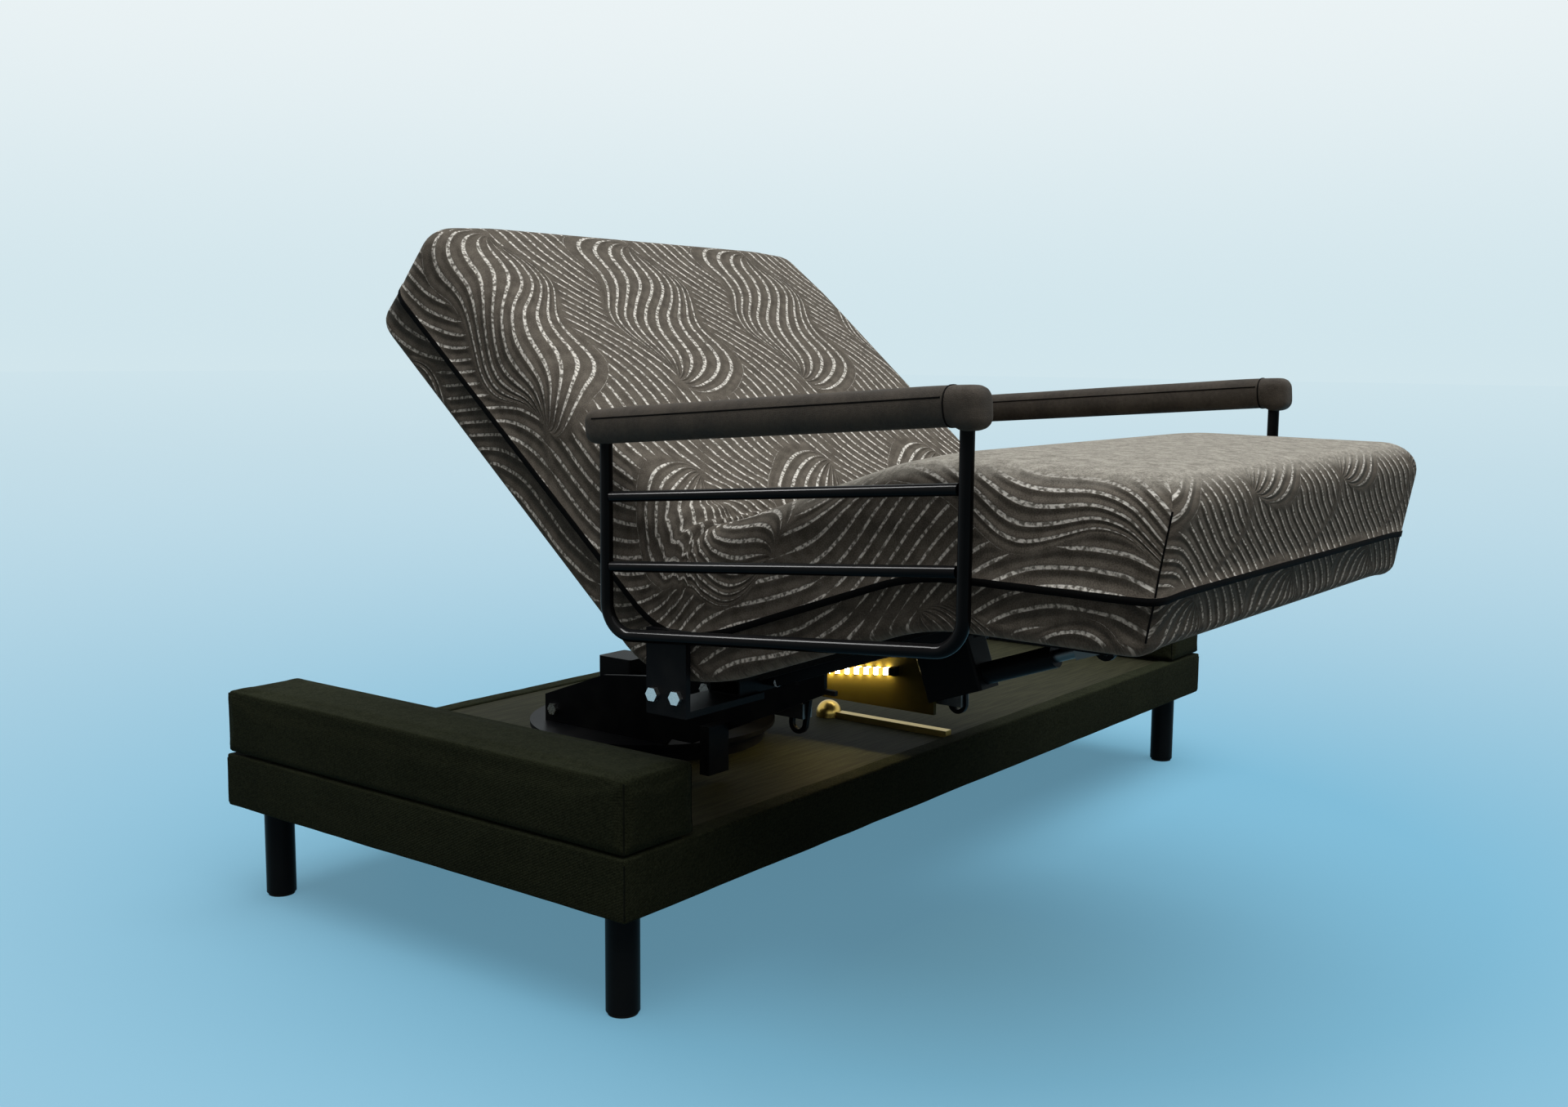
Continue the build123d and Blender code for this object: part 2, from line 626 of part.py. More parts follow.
def section_board(y0, y1, rounded_end=None, corner=0.0):
    wide = BOARD_WIDTH / 2
    board = block(-wide, wide, min(y0, y1), max(y0, y1), BOARD_BOTTOM, PLATFORM_HEIGHT)
    if rounded_end is None:
        return board
    upright = board.edges().filter_by(Axis.Z).sort_by(Axis.Y)
    return fillet(upright[-2:] if rounded_end > 0 else upright[:2], corner)


# Actuators

def rod_travel(angle, half_travel, drop):
    """How far the rod's pin stands from under the hinge, for a section raised by angle."""
    return drop * tan(radians(angle - half_travel))


BACK_PIN_Y = BACK_HINGE_Y + rod_travel(BACK_REST, BACK_MAX / 2, LEVER_DROP)
THIGH_PIN_Y = THIGH_HINGE_Y - rod_travel(THIGH_REST, THIGH_MAX / 2, LEVER_DROP)
FOOT_PIN_Y = KNEE_HINGE_Y + rod_travel(FOOT_REST, FOOT_MAX / 2, FOOT_LEVER_DROP)


def actuator_rod(x, pin_y, z, length):
    """A rod along +Y with a forked end and its cross pin."""
    half = CLEVIS_SIZE / 2
    fork_end = pin_y + CLEVIS_SLOT_DEPTH + CLEVIS_BACK
    fork = block(x - half, x + half, pin_y - CLEVIS_MOUTH, fork_end, z - half, z + half)
    gap = LEVER_THICKNESS / 2 + CLEVIS_SIDE_GAP
    fork -= block(x - gap, x + gap, pin_y - CLEVIS_MOUTH, pin_y + CLEVIS_SLOT_DEPTH, z - half, z + half)
    pin = rod_x(x - half, x + half, pin_y, z, PIN_DIAMETER)
    return fork + pin + rod_y(x, fork_end, fork_end + length, z, ROD_DIAMETER)


def housing_tube(x, mouth, z, length, travel_in):
    """The outer tube with the rod's running bore, open at the mouth and closed at the far end."""
    tube = rod_y(x, mouth, mouth + length, z, HOUSING_DIAMETER)
    return tube - rod_y(x, mouth, mouth + travel_in, z, ROD_DIAMETER + 2 * ROD_CLEARANCE)


def floor_actuator(x, hinge_y, half_travel):
    """A tube and gearbox at the turntable's height that push a lever's pin."""
    reach = rod_travel(2 * half_travel, half_travel, LEVER_DROP)
    rod_start = CLEVIS_SLOT_DEPTH + CLEVIS_BACK
    mouth = hinge_y + reach + rod_start + HOUSING_MOUTH_GAP
    depth = hinge_y + reach + rod_start + ROD_LENGTH + HOUSING_SPARE - mouth
    tube = housing_tube(x, mouth, ACTUATOR_Z, depth + HOUSING_SPARE, depth)
    back = mouth + depth + HOUSING_SPARE
    half = GEARBOX_WIDTH / 2
    gearbox = block(x - half, x + half, back, back + GEARBOX_LENGTH, TABLE_TOP, ACTUATOR_Z + GEARBOX_ABOVE)
    gearbox = fillet(gearbox.edges().filter_by(Axis.Z), MOTOR_ROUNDING)
    return tube + gearbox


def foot_actuator():
    """A tube and gearbox under the thigh frame that push the foot section's lever."""
    reach = rod_travel(FOOT_MAX, FOOT_MAX / 2, FOOT_LEVER_DROP)
    rod_start = CLEVIS_SLOT_DEPTH + CLEVIS_BACK
    mouth = KNEE_HINGE_Y + reach + rod_start + HOUSING_MOUTH_GAP
    depth = KNEE_HINGE_Y + reach + rod_start + FOOT_ROD_LENGTH + HOUSING_SPARE - mouth
    tube = housing_tube(FOOT_ACTUATOR_X, mouth, FOOT_ACTUATOR_Z, depth + HOUSING_SPARE, depth)
    back = mouth + depth + HOUSING_SPARE
    half = FOOT_GEARBOX_WIDTH / 2
    gearbox = block(FOOT_ACTUATOR_X - half, FOOT_ACTUATOR_X + half, back, back + FOOT_GEARBOX_LENGTH,
                    FOOT_ACTUATOR_Z - FOOT_GEARBOX_BELOW, FRAME_BOTTOM)
    return tube + fillet(gearbox.edges().filter_by(Axis.Z), MOTOR_ROUNDING)


# Side rails

def handrail_z(y):
    """Height of the bottom bar's centre line, which rises towards the foot."""
    return HANDRAIL_BOTTOM + HANDRAIL_SLOPE * (HANDRAIL_HEAD_Y - y)


def handrail_tube(side):
    x = side * HANDRAIL_OFFSET
    head, foot = HANDRAIL_HEAD_Y, HANDRAIL_HEAD_Y - HANDRAIL_LENGTH
    top = ARMREST_CENTRE - ARMREST_HEIGHT / 2 + ARMREST_SOCKET - POST_END_GAP
    points = [(x, head, handrail_z(head) + top), (x, head, handrail_z(head)),
              (x, foot, handrail_z(foot)), (x, foot, handrail_z(foot) + top)]
    path = FilletPolyline(*points, radius=HANDRAIL_CORNER)
    radius = HANDRAIL_TUBE / 2
    plane = Plane(origin=points[0], z_dir=(0, 0, -1))
    outer = sweep(plane * Circle(radius), path=path)
    inner = sweep(plane * Circle(radius - HANDRAIL_WALL), path=path)
    return outer - inner


def handrail_bars():
    half = HANDRAIL_TUBE / 2 + HANDRAIL_BAR_GAP + HANDRAIL_BAR / 2 * HANDRAIL_SLOPE
    y0, y1 = HANDRAIL_HEAD_Y - half, HANDRAIL_HEAD_Y - HANDRAIL_LENGTH + half
    bars = []
    for side in (-1, 1):
        for step in (HANDRAIL_LOW_BAR, HANDRAIL_HIGH_BAR):
            start = Vector(side * HANDRAIL_OFFSET, y0, handrail_z(y0) + step)
            end = Vector(side * HANDRAIL_OFFSET, y1, handrail_z(y1) + step)
            plane = Plane(origin=start, z_dir=end - start)
            bars.append(extrude(plane * Circle(HANDRAIL_BAR / 2), amount=(end - start).length))
    return bars


def armrest(side):
    """A padded rest along the top of a side rail, with a crowned top and blind holes for the two posts."""
    half = ARMREST_WIDTH / 2
    shoulder = ARMREST_HEIGHT / 2 - ARMREST_CROWN
    low = -ARMREST_HEIGHT / 2
    bottom = Line((-half, low), (half, low))
    right = Line((half, low), (half, shoulder))
    top = ThreePointArc((half, shoulder), (0, ARMREST_HEIGHT / 2), (-half, shoulder))
    left = Line((-half, shoulder), (-half, low))
    section = make_face([bottom, right, top, left])
    section = fillet(section.vertices(), ARMREST_ROUNDING)
    head, foot = HANDRAIL_HEAD_Y, HANDRAIL_HEAD_Y - HANDRAIL_LENGTH
    along = Vector(0, -1, HANDRAIL_SLOPE).normalized()
    x = side * HANDRAIL_OFFSET
    start = Vector(x, head, handrail_z(head) + ARMREST_CENTRE) - along * ARMREST_OVERHANG
    length = HANDRAIL_LENGTH * (1 + HANDRAIL_SLOPE ** 2) ** 0.5 + 2 * ARMREST_OVERHANG
    plane = Plane(origin=start, x_dir=(1, 0, 0), z_dir=along)
    pad = extrude(plane * section, amount=length)
    hole = HANDRAIL_TUBE + 2 * SOFT_GAP
    for y in (head, foot):
        z = handrail_z(y) + ARMREST_CENTRE - ARMREST_HEIGHT / 2
        pad -= rod_z(x, y, z - ARMREST_SOCKET, z + ARMREST_SOCKET, hole)
    return pad


def rail_brackets():
    """Angle brackets under the seat beam's ends that carry the bottom bars of the side rails."""
    y0, y1 = SEAT_CENTRE_Y - BRACKET_WIDTH / 2, SEAT_CENTRE_Y + BRACKET_WIDTH / 2
    outer = HANDRAIL_OFFSET - HANDRAIL_TUBE / 2 - SOFT_GAP
    inner = FRAME_WIDTH / 2 - BRACKET_LAP
    low = BEAM_BOTTOM - BRACKET_THICKNESS
    top = handrail_z(SEAT_CENTRE_Y) + HANDRAIL_TUBE / 2
    brackets = []
    for side in (-1, 1):
        x0, x1 = sorted((side * inner, side * outer))
        foot = block(x0, x1, y0, y1, low, BEAM_BOTTOM)
        x0, x1 = sorted((side * (outer - BRACKET_THICKNESS), side * outer))
        brackets.append(foot + block(x0, x1, y0, y1, low, top))
    return brackets


def bracket_bolts():
    """Bolt heads on the outer faces of the brackets."""
    face = HANDRAIL_OFFSET - HANDRAIL_TUBE / 2 - SOFT_GAP
    bolts = []
    for side in (-1, 1):
        for offset in (-BRACKET_BOLT_PITCH / 2, BRACKET_BOLT_PITCH / 2):
            centre = (side * face, SEAT_CENTRE_Y + offset, HINGE_Z)
            plane = Plane(origin=centre, x_dir=(0, 1, 0), z_dir=(side, 0, 0))
            bolts.append(extrude(plane * RegularPolygon(BOLT_HEAD / 2, 6), amount=BOLT_HEAD_HEIGHT))
    return bolts


# Light

def light_slope():
    rise = PEDESTAL_NECK_Z - TABLE_TOP - PEDESTAL_SHOULDER[1]
    return rise / (PEDESTAL_SHOULDER[0] - PEDESTAL_NECK_Y)


def light_bar(start, length, width, height):
    """A bar on the inner face of the far pedestal plate, parallel to the plate's upper edge."""
    slope = light_slope()
    edge = TABLE_TOP + PEDESTAL_SHOULDER[1] + slope * (PEDESTAL_SHOULDER[0] - start)
    face = (PEDESTAL_SPAN - PLATE_THICKNESS) / 2
    low = edge - LIGHT_BELOW_EDGE - height / 2
    end = start - length
    end_low = low + slope * length
    points = [(start, low), (end, end_low), (end, end_low + height), (start, low + height)]
    return plate_yz(points, face - width, face)


# Mattress

def mattress_section(height):
    """The mattress cross-section: flat base, sides drawn in at the binding, and a crowned top."""
    half = MATTRESS_WIDTH / 2
    edge = height - MATTRESS_CROWN
    low = MATTRESS_FOOT_ROUNDING
    high = edge - MATTRESS_TOP_ROUNDING
    waist = half - BINDING_DRAW_IN
    flat = half - MATTRESS_FOOT_ROUNDING
    top = half - MATTRESS_TOP_ROUNDING
    bow = cos(pi / 4)
    bottom_bow = MATTRESS_FOOT_ROUNDING * (1 - bow)
    top_bow = MATTRESS_TOP_ROUNDING * (1 - bow)
    edges = [Line((-flat, 0), (flat, 0))]
    right = [((flat, 0), (half - bottom_bow, bottom_bow), (half, low)),
             ((half, low), None, (waist, BINDING_HEIGHT)),
             ((waist, BINDING_HEIGHT), None, (half, high)),
             ((half, high), (half - top_bow, edge - top_bow), (top, edge))]
    for start, middle, end in right:
        edges.append(Line(start, end) if middle is None else ThreePointArc(start, middle, end))
    edges.append(ThreePointArc((top, edge), (0, height), (-top, edge)))
    for start, middle, end in reversed(right):
        start, end = (-end[0], end[1]), (-start[0], start[1])
        middle = None if middle is None else (-middle[0], middle[1])
        edges.append(Line(start, end) if middle is None else ThreePointArc(start, middle, end))
    return make_face(edges)


def section_at(y, z, lean, height):
    """The cross-section standing at (y, z), its upright leaning from +Z towards -Y by lean degrees."""
    normal = (0, -cos(radians(lean)), -sin(radians(lean)))
    plane = Plane(origin=(0, y, z), x_dir=(1, 0, 0), z_dir=normal)
    return plane * mattress_section(height)


def straight_mattress(y0, y1):
    """A straight length of mattress on the flat platform."""
    high, low = max(y0, y1), min(y0, y1)
    return extrude(section_at(high, PLATFORM_HEIGHT, 0, MATTRESS_THICKNESS), amount=high - low)


def end_shape(y_end, y_from, corner, edge):
    """The rounded plan and side outlines that shape a mattress end, met as one solid."""
    outwards = y_end > y_from
    half = MATTRESS_WIDTH / 2
    y0, y1 = sorted((y_end, y_from))
    outline = block(-half, half, y0, y1, PLATFORM_HEIGHT, PLATFORM_HEIGHT + MATTRESS_THICKNESS)
    upright = outline.edges().filter_by(Axis.Z).sort_by(Axis.Y)
    plan = fillet(upright[-2:] if outwards else upright[:2], corner)
    across = outline.edges().filter_by(Axis.X).sort_by(Axis.Y)
    profile = fillet(across[-2:] if outwards else across[:2], edge)
    return plan & profile


def mattress_back():
    start = BACK_HINGE_Y + BACK_FOLD + HIP_BACK_START + SOFT_GAP
    return straight_mattress(start, HEAD_END) & end_shape(HEAD_END, start, HEAD_CORNER, HEAD_EDGE)


def mattress_thigh():
    start = THIGH_HINGE_Y - THIGH_FOLD - HIP_THIGH_START - SOFT_GAP
    return straight_mattress(start, KNEE_HINGE_Y + KNEE_THIGH_END + SOFT_GAP)


def mattress_foot():
    start = KNEE_HINGE_Y - KNEE_FOOT_START - SOFT_GAP
    return straight_mattress(start, FOOT_END) & end_shape(FOOT_END, start, FOOT_CORNER, FOOT_EDGE)


def mattress_hip():
    """The fold over the seat, from the back to the thigh, mitred over the two hinge lines."""
    back = radians(BACK_REST)
    thigh = radians(THIGH_REST)
    back_line = BACK_HINGE_Y - BACK_FOLD
    thigh_line = THIGH_HINGE_Y + THIGH_FOLD
    sections = [
        section_at(back_line + HIP_BACK_START * cos(back), PLATFORM_HEIGHT + HIP_BACK_START * sin(back),
                   BACK_REST, MATTRESS_THICKNESS),
        section_at(back_line, PLATFORM_HEIGHT, BACK_REST / 2, MATTRESS_THICKNESS / cos(back / 2)),
        section_at(thigh_line, PLATFORM_HEIGHT, -THIGH_REST / 2, MATTRESS_THICKNESS / cos(thigh / 2)),
        section_at(thigh_line - HIP_THIGH_START * cos(thigh), PLATFORM_HEIGHT + HIP_THIGH_START * sin(thigh),
                   -THIGH_REST, MATTRESS_THICKNESS),
    ]
    return loft(sections, ruled=True)


def mattress_knee():
    """The bend over the knee hinge, drawn with the thigh flat and the foot section at its rest angle."""
    drop = radians(FOOT_REST)
    lift = HINGE_DEPTH / cos(drop / 2)
    foot_y = KNEE_HINGE_Y - KNEE_FOOT_START * cos(drop) + HINGE_DEPTH * -sin(drop)
    foot_z = HINGE_Z - KNEE_FOOT_START * sin(drop) + HINGE_DEPTH * cos(drop)
    sections = [
        section_at(KNEE_HINGE_Y + KNEE_THIGH_END, PLATFORM_HEIGHT, 0, MATTRESS_THICKNESS),
        section_at(KNEE_HINGE_Y - lift * sin(drop / 2), HINGE_Z + lift * cos(drop / 2), FOOT_REST / 2,
                   MATTRESS_THICKNESS / cos(drop / 2)),
        section_at(foot_y, foot_z, FOOT_REST, MATTRESS_THICKNESS),
    ]
    return loft(sections, ruled=True)


def base_parts():
    leg_names = ("leg_near_left", "leg_near_right", "leg_far_left", "leg_far_right")
    parts = {
        "near_side_rail": side_rail(-1),
        "far_side_rail": side_rail(1),
        "left_end_rail": end_rail(-1),
        "right_end_rail": end_rail(1),
        "deck_panel": deck_panel(),
        "deck_beams": deck_beams(),
        "corner_blocks": corner_blocks(),
        "leg_studs": [rod_z(x, y, LEG_HEIGHT - STUD_DEPTH, LEG_HEIGHT + STUD_DEPTH, STUD_DIAMETER)
                      for x, y in corners(LEG_INSET)],
        "leg_glides": [rod_z(x, y, 0, GLIDE_HEIGHT, LEG_DIAMETER - 2 * GLIDE_INSET)
                       for x, y in corners(LEG_INSET)],
        "left_bolster": bolster(-1),
        "right_bolster": bolster(1),
        "control_box": control_box(),
    }
    for name, (x, y) in zip(leg_names, corners(LEG_INSET)):
        parts[name] = leg(x, y)
    return parts


def unit_parts():
    parts = {
        "swivel_lower_ring": swivel_ring(DECK_TOP),
        "swivel_hub": rod_z(0, 0, DECK_TOP, TABLE_TOP - HUB_RECESS, HUB_DIAMETER),
        "turn_stop_bumper": turn_stop_bumper(),
        "turn_stop_bar": turn_stop_bar(),
        "swivel_upper_ring": swivel_ring(DECK_TOP + RING_HEIGHT + RING_GAP),
        "turntable_plate": turntable_plate(),
        "swivel_motor": swivel_motor(),
        "pedestal_near_plate": pedestal_plate(-1, NEAR_TOE_Z, NEAR_TOE_FLAT, NEAR_TOE_RUN),
        "pedestal_far_plate": pedestal_plate(1, FAR_TOE_Z, FAR_TOE_FLAT, FAR_TOE_RUN),
        "pedestal_spacers": pedestal_spacers(),
        "pedestal_bolts": pedestal_bolts(),
        "stop_lug": stop_lug(),
        "seat_beam": seat_beam(),
        "seat_deck": seat_deck(),
        "hinge_ears": hinge_ears(),
        "hinge_pins": [hinge_pin(side, y) for side in (-1, 1) for y in (BACK_HINGE_Y, THIGH_HINGE_Y)],
        "rail_brackets": rail_brackets(),
        "bracket_bolts": bracket_bolts(),
        "near_rail_tube": handrail_tube(-1),
        "far_rail_tube": handrail_tube(1),
        "rail_bars": handrail_bars(),
        "near_armrest": armrest(-1),
        "far_armrest": armrest(1),
        "light_strip": light_bar(LIGHT_START, LIGHT_LENGTH, LIGHT_WIDTH, LIGHT_HEIGHT),
        "light_clip": light_bar(LIGHT_START - LIGHT_LENGTH, CLIP_LENGTH, LIGHT_WIDTH + CLIP_MARGIN,
                                LIGHT_HEIGHT + CLIP_MARGIN),
        "back_actuator": floor_actuator(BACK_ACTUATOR_X, BACK_HINGE_Y, BACK_MAX / 2),
        "thigh_actuator": floor_actuator(THIGH_ACTUATOR_X, THIGH_HINGE_Y, THIGH_MAX / 2),
        "back_rod": actuator_rod(BACK_ACTUATOR_X, BACK_PIN_Y, ACTUATOR_Z, ROD_LENGTH),
        "thigh_rod": actuator_rod(THIGH_ACTUATOR_X, THIGH_PIN_Y, ACTUATOR_Z, ROD_LENGTH),
        "mattress_hip": mattress_hip(),
        "back_frame": on_back(back_frame()),
        "back_deck": on_back(section_board(BACK_HINGE_Y + BOARD_HINGE_GAP, HEAD_END - HEAD_BOARD_INSET, 1,
                                           HEAD_BOARD_CORNER)),
        "mattress_back": on_back(mattress_back()),
        "thigh_frame": on_thigh(thigh_frame()),
        "thigh_deck": on_thigh(section_board(THIGH_HINGE_Y - BOARD_HINGE_GAP, KNEE_HINGE_Y + KNEE_BOARD_GAP)),
        "knee_pins": [on_thigh(hinge_pin(side, KNEE_HINGE_Y)) for side in (-1, 1)],
        "foot_actuator": on_thigh(foot_actuator()),
        "foot_rod": on_thigh(actuator_rod(FOOT_ACTUATOR_X, FOOT_PIN_Y, FOOT_ACTUATOR_Z, FOOT_ROD_LENGTH)),
        "mattress_thigh": on_thigh(mattress_thigh()),
        "mattress_knee": on_thigh(mattress_knee()),
        "foot_frame": on_foot(foot_frame()),
        "foot_deck": on_foot(section_board(KNEE_HINGE_Y - KNEE_BOARD_GAP, FOOT_END + FOOT_BOARD_INSET, -1,
                                           FOOT_BOARD_CORNER)),
        "mattress_foot": on_foot(mattress_foot()),
    }
    return parts


def solids_of(shape):
    if isinstance(shape, (list, tuple)):
        return [solid for item in shape for solid in solids_of(item)]
    return list(shape.solids())


def main():
    os.makedirs("parts", exist_ok=True)
    unit = {name: solids_of(shape) for name, shape in unit_parts().items()}
    foot_reach = min(solid.bounding_box().min.Y for solid in unit["mattress_foot"])
    base_y = -(foot_reach + BASE_WIDTH / 2) / 2
    to_base = Pos(0, base_y, 0)
    to_unit = Pos(SWIVEL_X, base_y, 0)
    placed = {name: [to_unit * solid for solid in solids] for name, solids in unit.items()}
    for name, shape in base_parts().items():
        placed[name] = [to_base * solid for solid in solids_of(shape)]
    for name, solids in placed.items():
        export_step(solids[0] if len(solids) == 1 else Compound(solids), f"parts/{name}.step")
    print("base centre line y", round(base_y, 3), "nodes", len(placed))
    print("hinges", round(base_y + BACK_HINGE_Y, 3), round(base_y + THIGH_HINGE_Y, 3), round(HINGE_Z, 3))
    knee = on_thigh(Pos(0, KNEE_HINGE_Y, HINGE_Z) * Sphere(1)).center()
    print("knee", round(base_y + knee.Y, 3), round(knee.Z, 3))


main()
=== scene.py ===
# %% [markdown]
# A rotating adjustable bed, dressed in Blender.
# The construction comes from CAD as a fixed frame: rails, swivel, hinged sections and drives.
# This lesson adds what CAD is poor at: the mattress, the upholstery, the padded armrests and every finish.
# Units are metres, +Z is up, and nothing that CAD made is moved.

# %% Load the frame
import json
import math

import bmesh
import bpy
from mathutils import Matrix, Vector, noise
from mathutils.bvhtree import BVHTree
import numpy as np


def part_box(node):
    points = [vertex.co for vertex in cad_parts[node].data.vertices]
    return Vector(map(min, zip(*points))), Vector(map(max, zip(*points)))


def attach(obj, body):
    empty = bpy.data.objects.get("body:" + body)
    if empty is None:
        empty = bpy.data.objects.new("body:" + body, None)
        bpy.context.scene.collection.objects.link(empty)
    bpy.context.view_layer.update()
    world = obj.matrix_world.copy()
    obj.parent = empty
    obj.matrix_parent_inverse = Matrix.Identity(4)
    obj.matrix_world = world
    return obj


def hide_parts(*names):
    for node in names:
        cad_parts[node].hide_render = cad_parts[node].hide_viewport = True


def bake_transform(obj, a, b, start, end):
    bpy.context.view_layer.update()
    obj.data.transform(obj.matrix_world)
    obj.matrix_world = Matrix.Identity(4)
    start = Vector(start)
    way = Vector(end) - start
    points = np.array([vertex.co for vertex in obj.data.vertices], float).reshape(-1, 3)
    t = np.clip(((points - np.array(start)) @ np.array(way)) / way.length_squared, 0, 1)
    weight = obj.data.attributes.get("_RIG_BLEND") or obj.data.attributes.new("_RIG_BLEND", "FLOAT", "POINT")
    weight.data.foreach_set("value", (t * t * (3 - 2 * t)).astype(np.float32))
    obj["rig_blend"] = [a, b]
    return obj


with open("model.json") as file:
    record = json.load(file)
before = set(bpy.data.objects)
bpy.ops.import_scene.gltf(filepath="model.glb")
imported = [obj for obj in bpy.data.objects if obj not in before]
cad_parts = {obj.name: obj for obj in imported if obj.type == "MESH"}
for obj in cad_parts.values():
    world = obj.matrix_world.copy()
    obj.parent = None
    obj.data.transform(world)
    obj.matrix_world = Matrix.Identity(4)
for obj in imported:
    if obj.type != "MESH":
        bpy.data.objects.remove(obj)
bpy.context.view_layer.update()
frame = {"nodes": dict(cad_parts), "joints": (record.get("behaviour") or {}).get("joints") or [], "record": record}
joints = {joint["name"]: joint for joint in frame["joints"]}

# %% [markdown]
# The camera stands where the photograph was taken.
# It could be placed by eye, but less exactly.
# So its place, heading and focal length were fitted to the corners and legs of the base.

# %% Camera
PHOTO_WIDTH = 1920
FOCAL_PIXELS = 1937.9
SENSOR_WIDTH = 36.0
CAMERA_PLACE = Vector((-2.5995, -1.5950, 0.9752))
CAMERA_YAW = 0.6519
CAMERA_PITCH = 0.1262
CAMERA_ROLL = 0.0081


def camera_turn(yaw, pitch, roll):
    """The camera's axes for a heading from +X, a downward pitch and a roll, in radians."""
    ahead = Vector((math.cos(pitch) * math.cos(yaw), math.cos(pitch) * math.sin(yaw), -math.sin(pitch)))
    level = Vector((math.sin(yaw), -math.cos(yaw), 0.0))
    upright = level.cross(ahead)
    right = math.cos(roll) * level + math.sin(roll) * upright
    up = math.cos(roll) * upright - math.sin(roll) * level
    return Matrix((right, up, -ahead)).transposed()


camera_data = bpy.data.cameras.new("camera")
camera_data.sensor_width = SENSOR_WIDTH
camera_data.lens = SENSOR_WIDTH * FOCAL_PIXELS / PHOTO_WIDTH
camera = bpy.data.objects.new("camera", camera_data)
camera_axes = camera_turn(CAMERA_YAW, CAMERA_PITCH, CAMERA_ROLL)
camera.matrix_world = Matrix.Translation(CAMERA_PLACE) @ camera_axes.to_4x4()
bpy.context.scene.collection.objects.link(camera)
bpy.context.scene.camera = camera
print("lens in mm:", round(camera_data.lens, 2))

# %% [markdown]
# Finishes are node graphs, and long graphs are hard to read when every node is added by hand.
# A small class wraps one socket, so that ordinary Python sums and products add the Math nodes.
# A second class holds one node tree, with one method that adds any other node.
# A third one is a finish: a material whose tree ends in a Principled shader.

# %% One socket
class Wire:
    """One output socket. Arithmetic on it adds Math nodes to the same tree."""

    def __init__(self, graph, socket):
        self.graph = graph
        self.socket = socket

    def math(self, operation, *values):
        return self.graph.node("ShaderNodeMath", {"operation": operation}, dict(enumerate(values)))

    def __add__(self, other):
        return self.math("ADD", self, other)

    __radd__ = __add__

    def __sub__(self, other):
        return self.math("SUBTRACT", self, other)

    def __rsub__(self, other):
        return self.math("SUBTRACT", other, self)

    def __mul__(self, other):
        return self.math("MULTIPLY", self, other)

    __rmul__ = __mul__

    def __truediv__(self, other):
        return self.math("DIVIDE", self, other)

    def wave(self):
        return self.math("SINE", self)

    def size(self):
        return self.math("ABSOLUTE", self)

    def cycle(self):
        return self.math("FRACT", self)

    def above(self, level):
        return self.math("GREATER_THAN", self, level)

    def rise(self, low, high):
        """A smooth step from 0 at low to 1 at high."""
        sockets = {"Value": self, "From Min": low, "From Max": high}
        return self.graph.node("ShaderNodeMapRange", {"interpolation_type": "SMOOTHSTEP"}, sockets)


# %% One node tree
class Graph:
    """A node tree, and the method that adds its nodes."""

    def __init__(self, tree):
        self.tree = tree

    def find(self, sockets, key):
        if isinstance(key, int):
            return sockets[key]
        for socket in sockets:
            if socket.identifier == key:
                return socket
        return sockets[key]

    def link(self, node, sockets):
        for key, value in sockets.items():
            socket = self.find(node.inputs, key)
            if isinstance(value, Wire):
                self.tree.links.new(value.socket, socket)
            else:
                socket.default_value = value

    def node(self, kind, settings, sockets, output=0):
        node = self.tree.nodes.new(kind)
        for key, value in settings.items():
            setattr(node, key, value)
        self.link(node, sockets)
        return Wire(self, self.find(node.outputs, output))

    def place(self):
        return self.node("ShaderNodeTexCoord", {}, {}, "Object")

    def noise(self, vector, scale, detail=2.0):
        return self.node("ShaderNodeTexNoise", {}, {"Vector": vector, "Scale": scale, "Detail": detail})

    def stretched(self, vector, scale):
        return self.node("ShaderNodeMapping", {}, {"Vector": vector, "Scale": scale})

    def mix(self, factor, first, second):
        sockets = {"Factor_Float": factor, "A_Color": first, "B_Color": second}
        return self.node("ShaderNodeMix", {"data_type": "RGBA"}, sockets, "Result_Color")

    def split(self, vector):
        axes = self.tree.nodes.new("ShaderNodeSeparateXYZ")
        self.link(axes, {"Vector": vector})
        return [Wire(self, output) for output in axes.outputs]

    def bump(self, height, distance, strength=1.0):
        sockets = {"Height": height, "Distance": distance, "Strength": strength}
        return self.node("ShaderNodeBump", {}, sockets)

    def seen(self):
        """1 for rays that show a background, straight or in a reflection, and 0 for bounced light."""
        kinds = ("Is Camera Ray", "Is Glossy Ray", "Is Transmission Ray")
        camera_ray, glossy, clear = [self.node("ShaderNodeLightPath", {}, {}, kind) for kind in kinds]
        total = camera_ray + glossy + clear
        return total.math("MINIMUM", total, 1.0)


# %% One finish
class Finish(Graph):
    """A material with one Principled shader."""

    def __init__(self, name):
        self.material = bpy.data.materials.new(name)
        self.material.use_nodes = True
        super().__init__(self.material.node_tree)
        self.shader = self.tree.nodes["Principled BSDF"]

    def surface(self, sockets):
        self.link(self.shader, sockets)
        return self.material


def colour(red, green, blue):
    return (red, green, blue, 1.0)


# %% [markdown]
# The stage is a pale blue floor that fades into a paler backdrop, as a long studio sweep does.
# A real horizon would draw a line behind the bed, so the floor's colour runs into the world's with distance.
# Rays that only carry bounced light meet a darker floor and world, which keeps the bed's sides and
# underside deep.

